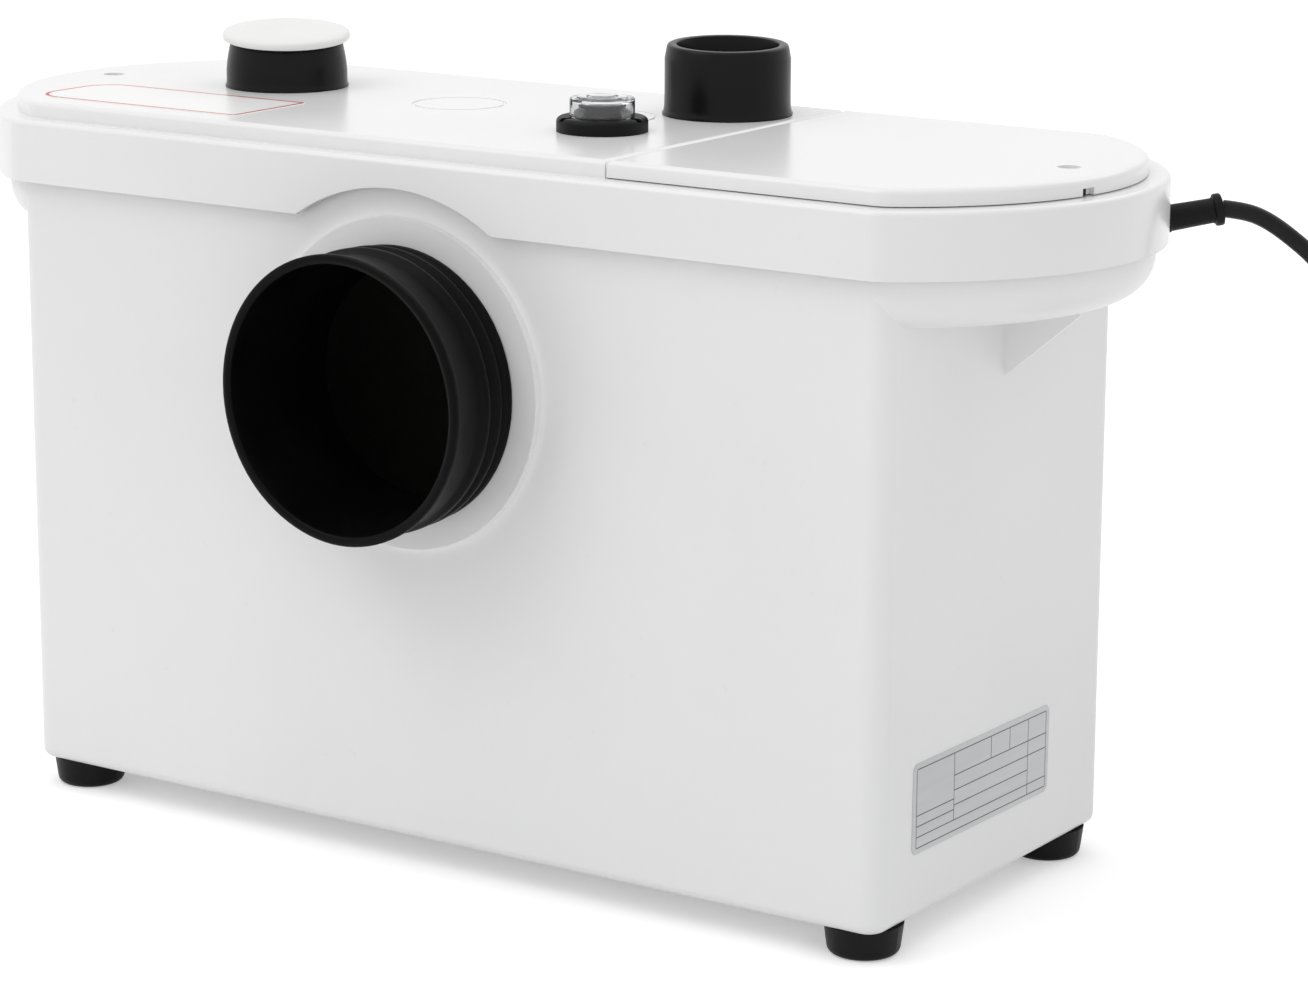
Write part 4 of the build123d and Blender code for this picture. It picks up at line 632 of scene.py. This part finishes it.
bootLook = {
    "profile": (
        (44.0, -10.1), (48.5, -10.1), (48.5, -8.3), (46.6, -8.0), (46.6, 2.6), (47.2, 3.05),
        (51.2, 3.05), (52.1, 3.6), (52.2, 6.0), (51.6, 6.9), (49.3, 7.6), (48.8, 8.5), (49.3, 9.3),
        (52.2, 10.0), (52.8, 10.8), (52.8, 12.4), (52.2, 13.2), (49.5, 14.1), (49.0, 15.2),
        (49.5, 16.3), (52.4, 17.3), (53.1, 18.2), (53.1, 20.0), (52.4, 21.0), (51.5, 22.3),
        (51.2, 24.0), (51.3, 28.5), (52.0, 33.0), (53.0, 36.4), (53.4, 37.4), (53.4, 39.0),
        (52.9, 39.6), (51.5, 39.7), (50.2, 39.5), (49.7, 38.8), (49.5, 33.0), (48.8, 22.0),
        (46.9, 12.0), (45.2, 5.0), (44.2, 0.0), (44.0, -10.1)),
    "sides": 96, "mouth": 39.6, "firm": 0.35, "sag": 0.45, "flat": 0.5,
}
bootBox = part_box("inlet_boot")
bootMiddle = middleOf(bootBox)
bootReach = bootLook["mouth"] * mm
wallFace = bootBox[0][1] + bootReach
inletBoot = turnedPiece(bootLook["profile"], bootLook["sides"])
standAt(inletBoot, (bootMiddle[0], wallFace, bootMiddle[2]), rightWay, (0, -1, 0))
settle(inletBoot, "inletBoot", "soft_black", smooth=50)
inletBoot.data.materials[0] = softBlack("bootRubber", {
    "colour": (0.0018, 0.0018, 0.0018), "bloom": (0.0035, 0.0035, 0.0035),
    "dust": (0.05, 0.05, 0.048), "dustShare": 0.05, "cloudScale": 24, "dustScale": 45,
    "grainScale": 600, "grainBump": 0.2, "rough": 0.33, "specular": 0.075})
for vertex in inletBoot.data.vertices:
    outward = (wallFace - vertex.co.y) / bootReach
    share = max(0.0, outward - bootLook["firm"]) / (1 - bootLook["firm"])
    side = vertex.co.x - bootMiddle[0]
    drop = vertex.co.z - bootMiddle[2]
    turn = (drop * abs(drop) - side * abs(side)) / (side * side + drop * drop)
    vertex.co.z -= share * share * bootLook["sag"] * mm * max(0.0, -turn)
    if side < 0:
        vertex.co.x -= share * share * bootLook["flat"] * mm * (1 - abs(turn))
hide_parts("inlet_boot")
print("inlet boot made")

# clear vent cap with stepped rings on its crown

ventProfile = (
    (9.2, 5.8), (10.6, 5.7), (10.95, 5.3), (10.95, 0.0), (12.15, 0.0), (12.15, 6.3), (11.95, 6.8),
    (11.5, 7.0), (9.7, 7.0), (9.5, 7.45), (9.2, 7.5), (6.0, 7.5), (5.7, 7.9), (5.3, 8.0))
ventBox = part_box("vent_cap")
ventMiddle = middleOf(ventBox)
ventCap = turnedPiece(ventProfile)
standAt(ventCap, (ventMiddle[0], ventMiddle[1], ventBox[0][2]), rightWay, upWay)
settle(ventCap, "ventCap", "clear_plastic", smooth=40)
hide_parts("vent_cap")

# plates: a silver plate with ruled lines on the right wall and a blank sticker on the lid; a rule
# is its middle, across and up, then half its run and half its rise, in mm

plateLook = {"length": 100.5, "width": 33.6, "thickness": 0.35, "sink": 0.05, "edge": 0.12,
             "corner": 3.0, "tightCorner": 3.0, "cornerSteps": 5,
             "place": (0.19675, 0.0069, 0.0522), "lean": 0.0125}
ratingPlate = roundedPlate(plateLook)
standAt(ratingPlate, plateLook["place"], (0, 1, -plateLook["lean"]), rightWay)
settle(ratingPlate, "ratingPlate", "steel")
ratingPlate.data.materials[0] = ruledPlate("ruledPlate", {
    "middle": plateLook["place"], "lean": plateLook["lean"], "colour": (0.6, 0.61, 0.62),
    "shade": (0.52, 0.53, 0.54), "ink": (0.06, 0.06, 0.06), "rough": 0.34,
    "rules": (
        (0, 14.6, 47.6, 0.2), (0, -14.6, 47.6, 0.2), (-47.8, 0, 0.2, 14.4), (47.8, 0, 0.2, 14.4),
        (0, -10.6, 47.6, 0.2), (-21, 2, 0.2, 12.6), (13.4, 6.2, 34.4, 0.2), (13.4, 0.6, 34.4, 0.2),
        (6, 10.4, 0.2, 4.2), (20, 10.4, 0.2, 4.2), (34, 0, 0.2, 14.4), (6.5, -5, 27.5, 0.2),
        (-34.4, -2.6, 13.4, 0.2), (-34.4, -6.6, 13.4, 0.2))})

stickerLook = {"length": 103.6, "width": 44.4, "thickness": 0.2, "sink": 0.05, "edge": 0.06,
               "corner": 14.0, "tightCorner": 2.2, "cornerSteps": 10, "place": (-0.1521, -0.0288)}
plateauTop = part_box("lid")[1][2]
stickerMiddle = (*stickerLook["place"], plateauTop)
lidSticker = roundedPlate(stickerLook)
standAt(lidSticker, stickerMiddle, rightWay, upWay)
settle(lidSticker, "lidSticker", "lid_white")
lidSticker.data.materials[0] = keylined("keylined", {
    "middle": stickerMiddle, "half": (stickerLook["length"] / 2, stickerLook["width"] / 2),
    "corner": stickerLook["corner"], "tightCorner": stickerLook["tightCorner"], "inset": 0.3,
    "line": 1.5, "colour": (0.9, 0.9, 0.895), "ink": (0.5, 0.012, 0.012), "rough": 0.28})
print("plates set")

# sleeves on the lid, leaning a little toward the front right: the side inlet's, squeezed toward
# its top under a domed cap, and the discharge's, with soft edges and a flared foot

leanWay = Vector((0.628, -0.778, 0))
inletLook = {
    "profile": (
        (19.5, -8.0), (21.2, -8.0), (21.2, -0.2), (24.5, 0.0), (24.6, 0.7), (24.2, 1.4),
        (24.1, 3.6), (24.1, 6.5), (23.8, 10.0), (23.3, 13.0), (22.7, 16.0), (22.3, 18.4),
        (21.9, 18.8), (19.5, 18.8), (19.5, -8.0)),
    "sides": 96, "lean": 5.3, "stiff": 2.0,
}
dischargeLook = {
    "profile": (
        (19.5, -13.0), (22.3, -13.0), (22.3, -0.2), (24.9, 0.0), (25.0, 0.7), (24.5, 1.5),
        (24.2, 3.4), (24.1, 8.0), (24.1, 21.6), (23.9, 22.5), (23.3, 25.9), (22.9, 26.6),
        (22.3, 26.9), (20.2, 26.9), (19.7, 26.7), (19.5, 26.2), (19.5, -13.0)),
    "sides": 96, "lean": 2.0, "stiff": 2.0,
}
coverLook = {
    "profile": (
        (17.4, -7.6), (19.2, -7.6), (19.4, -7.2), (19.4, -0.2), (21.6, 0), (24.6, 0),
        (25.1, 0.25), (25.35, 0.9), (25.35, 1.9), (25.1, 2.6), (24.4, 3.1), (22.0, 3.5),
        (17.0, 3.95), (11.0, 4.25), (4.0, 4.4)),
    "sides": 96, "underTop": 3.9,
}


def leaningSleeve(node, name, look):
    # the lean is a shear that grows from a stiff foot
    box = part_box(node)
    middle = middleOf(box)
    sleeve = turnedPiece(look["profile"], look["sides"])
    standAt(sleeve, (middle[0], middle[1], plateauTop), rightWay, upWay)
    settle(sleeve, name, "hard_black", smooth=45)
    stiff = look["stiff"] * mm
    rise = box[1][2] - plateauTop
    for vertex in sleeve.data.vertices:
        share = max(0.0, vertex.co.z - plateauTop - stiff) / (rise - stiff)
        reach = (vertex.co.x - middle[0]) * leanWay.x + (vertex.co.y - middle[1]) * leanWay.y
        vertex.co.z -= reach * tan(radians(look["lean"])) * share
    return sleeve


sideSleeve = leaningSleeve("side_sleeve", "sideSleeve", inletLook)
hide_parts("side_sleeve")

inletMiddle = middleOf(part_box("side_sleeve"))
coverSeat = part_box("blanking_cap")[1][2] - coverLook["underTop"] * mm
inletLean = radians(inletLook["lean"])
coverAxis = upWay * cos(inletLean) + leanWay * sin(inletLean)
capCover = turnedPiece(coverLook["profile"], coverLook["sides"])
standAt(capCover, (inletMiddle[0], inletMiddle[1], coverSeat), cordSide.cross(coverAxis), coverAxis)
settle(capCover, "capCover", "lid_white", smooth=40)
capCover.data.materials[0] = mouldedWhite("capWhite", {
    "colour": (0.84, 0.84, 0.832), "shade": (0.815, 0.815, 0.808), "speck": (0.6, 0.59, 0.57),
    "speckShare": 0.1, "cloudScale": 30, "speckScale": 300, "grainScale": 900,
    "grainBump": 0.06, "waveScale": 40, "waveBump": 0.08, "rough": 0.3})
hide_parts("blanking_cap")

dischargeSleeve = leaningSleeve("discharge_sleeve", "dischargeSleeve", dischargeLook)
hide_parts("discharge_sleeve")
print("sleeves made")

# lid screws: painted heads with a cross recess, down in their recesses

screwLook = {
    "profile": ((2.5, -36.0), (2.5, 0.0), (3.9, 0.0), (3.9, 1.6), (3.7, 2.1), (3.2, 2.4),
                (2.4, 2.5)),
    "sides": 48, "head": 2.5, "cross": (4.4, 1.0), "depth": 1.3, "paintFoot": 2.3,
}
for node in ("lid_screw", "cover_screw"):
    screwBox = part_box(node)
    screwMiddle = middleOf(screwBox)
    screwPlace = Vector((screwMiddle[0], screwMiddle[1],
                         screwBox[1][2] - screwLook["head"] * mm))
    screwPiece = turnedPiece(screwLook["profile"], screwLook["sides"])
    for span, width in (screwLook["cross"], reversed(screwLook["cross"])):
        startClean()
        bpy.ops.mesh.primitive_cube_add(size=1, location=(0, 0, screwLook["head"] * mm))
        cutter = bpy.context.object
        cutter.scale = (span * mm, width * mm, 2 * screwLook["depth"] * mm)
        addModifier(screwPiece, "BOOLEAN", {
            "object": cutter, "operation": "DIFFERENCE", "solver": "EXACT"})
        bpy.data.objects.remove(cutter)
    standAt(screwPiece, screwPlace, (1, 1, 0), upWay)
    settle(screwPiece, "capped" + node.split("_")[0].title() + "Screw", "steel", smooth=30)
    # pale paint on the heads, painted shade in their cross recesses
    screwPiece.data.materials[0] = paintedHead(node + "Paint", {
        "middle": screwPlace + upWay * (screwLook["paintFoot"] * mm), "reach": 0.0026,
        "depth": 0.0014, "colour": (0.78, 0.78, 0.77), "recessShade": (0.02, 0.018, 0.016),
        "rough": 0.3})
    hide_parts(node)
print("screws made")

# painted shade: a thin black block set in the service cover's notch, which is in shade

notchShadeLook = {"length": 3.4, "width": 2.7, "thickness": 0.7, "sink": 0.0, "edge": 0.1,
              "corner": 0.3, "tightCorner": 0.3, "cornerSteps": 2,
              "place": (0.2356, -0.0028, 0.27205), "angle": -12.0}
notchShadeBlock = roundedPlate(notchShadeLook)
notchShadeWay = Vector((cos(radians(notchShadeLook["angle"])), sin(radians(notchShadeLook["angle"])), 0))
standAt(notchShadeBlock, notchShadeLook["place"], upWay.cross(notchShadeWay), notchShadeWay)
settle(notchShadeBlock, "notchShadeBlock", "hard_black")

# floor, lamps and the pale surroundings; camera rays and rays that a surface mirrors or lets
# through see both of them brighter than the light they give

stageLook = {
    "size": 14, "floor": (0.9, 0.9, 0.9), "rough": 0.9, "lift": 0.35, "world": 0.74,
    "worldSeen": 1.0, "seenBy": ("Is Camera Ray", "Is Glossy Ray", "Is Transmission Ray"),
    "lamps": (
        ("skyBox", (-0.2, -0.3, 2.6), (0, 0, 0.1), (2.4, 2.0), 10),
        ("keyBox", (-1.1, -1.5, 2.2), (0, 0, 0.15), (1.6, 1.2), 11),
        ("backBox", (0.6, 2.0, 1.9), (0, 0, 0.2), (1.8, 1.0), 5)),
}
white = (1, 1, 1)
startClean()
bpy.ops.mesh.primitive_plane_add(size=stageLook["size"], location=(0, 0, 0))
floor = bpy.context.object
floor.name = "studioFloor"
floorFinish = Finish("studioFloor")
seen, mirrored, through = [
    floorFinish.add("ShaderNodeLightPath", {}, {}, kind) for kind in stageLook["seenBy"]]
floorFinish.surface(colour=stageLook["floor"], rough=stageLook["rough"], specular=0.0)
glow = floorFinish.add("ShaderNodeEmission", {}, {
    "Color": white, "Strength": (seen + mirrored + through) * stageLook["lift"]})
floorSurface = Wire(floorFinish, floorFinish.shader.outputs[0])
both = floorFinish.add("ShaderNodeAddShader", {}, {0: floorSurface, 1: glow})
floorFinish.links.new(both.socket, floorFinish.nodes["Material Output"].inputs["Surface"])
floor.data.materials.append(floorFinish.material)

world = bpy.data.worlds.new("paleWorld")
scene.world = world
world.use_nodes = True
worldNodes = world.node_tree.nodes
worldLinks = world.node_tree.links
background = worldNodes["Background"]
background.inputs["Color"].default_value = (*white, 1)
lightPath = worldNodes.new("ShaderNodeLightPath")
seenSum = lightPath.outputs[stageLook["seenBy"][0]]
for kind in stageLook["seenBy"][1:]:
    either = worldNodes.new("ShaderNodeMath")
    either.operation = "MAXIMUM"
    worldLinks.new(seenSum, either.inputs[0])
    worldLinks.new(lightPath.outputs[kind], either.inputs[1])
    seenSum = either.outputs[0]
strength = worldNodes.new("ShaderNodeMapRange")
strength.inputs["To Min"].default_value = stageLook["world"]
strength.inputs["To Max"].default_value = stageLook["worldSeen"]
worldLinks.new(seenSum, strength.inputs["Value"])
worldLinks.new(strength.outputs[0], background.inputs["Strength"])

for name, place, target, size, power in stageLook["lamps"]:
    lampData = bpy.data.lights.new(name, "AREA")
    lampData.shape = "RECTANGLE"
    lampData.size, lampData.size_y = size
    lampData.energy = power
    lamp = bpy.data.objects.new(name, lampData)
    lamp.location = place
    lampWay = Vector(target) - Vector(place)
    lamp.rotation_euler = lampWay.to_track_quat("-Z", "Y").to_euler()
    scene.collection.objects.link(lamp)
scene.view_settings.view_transform = "Standard"
print("stage lit")
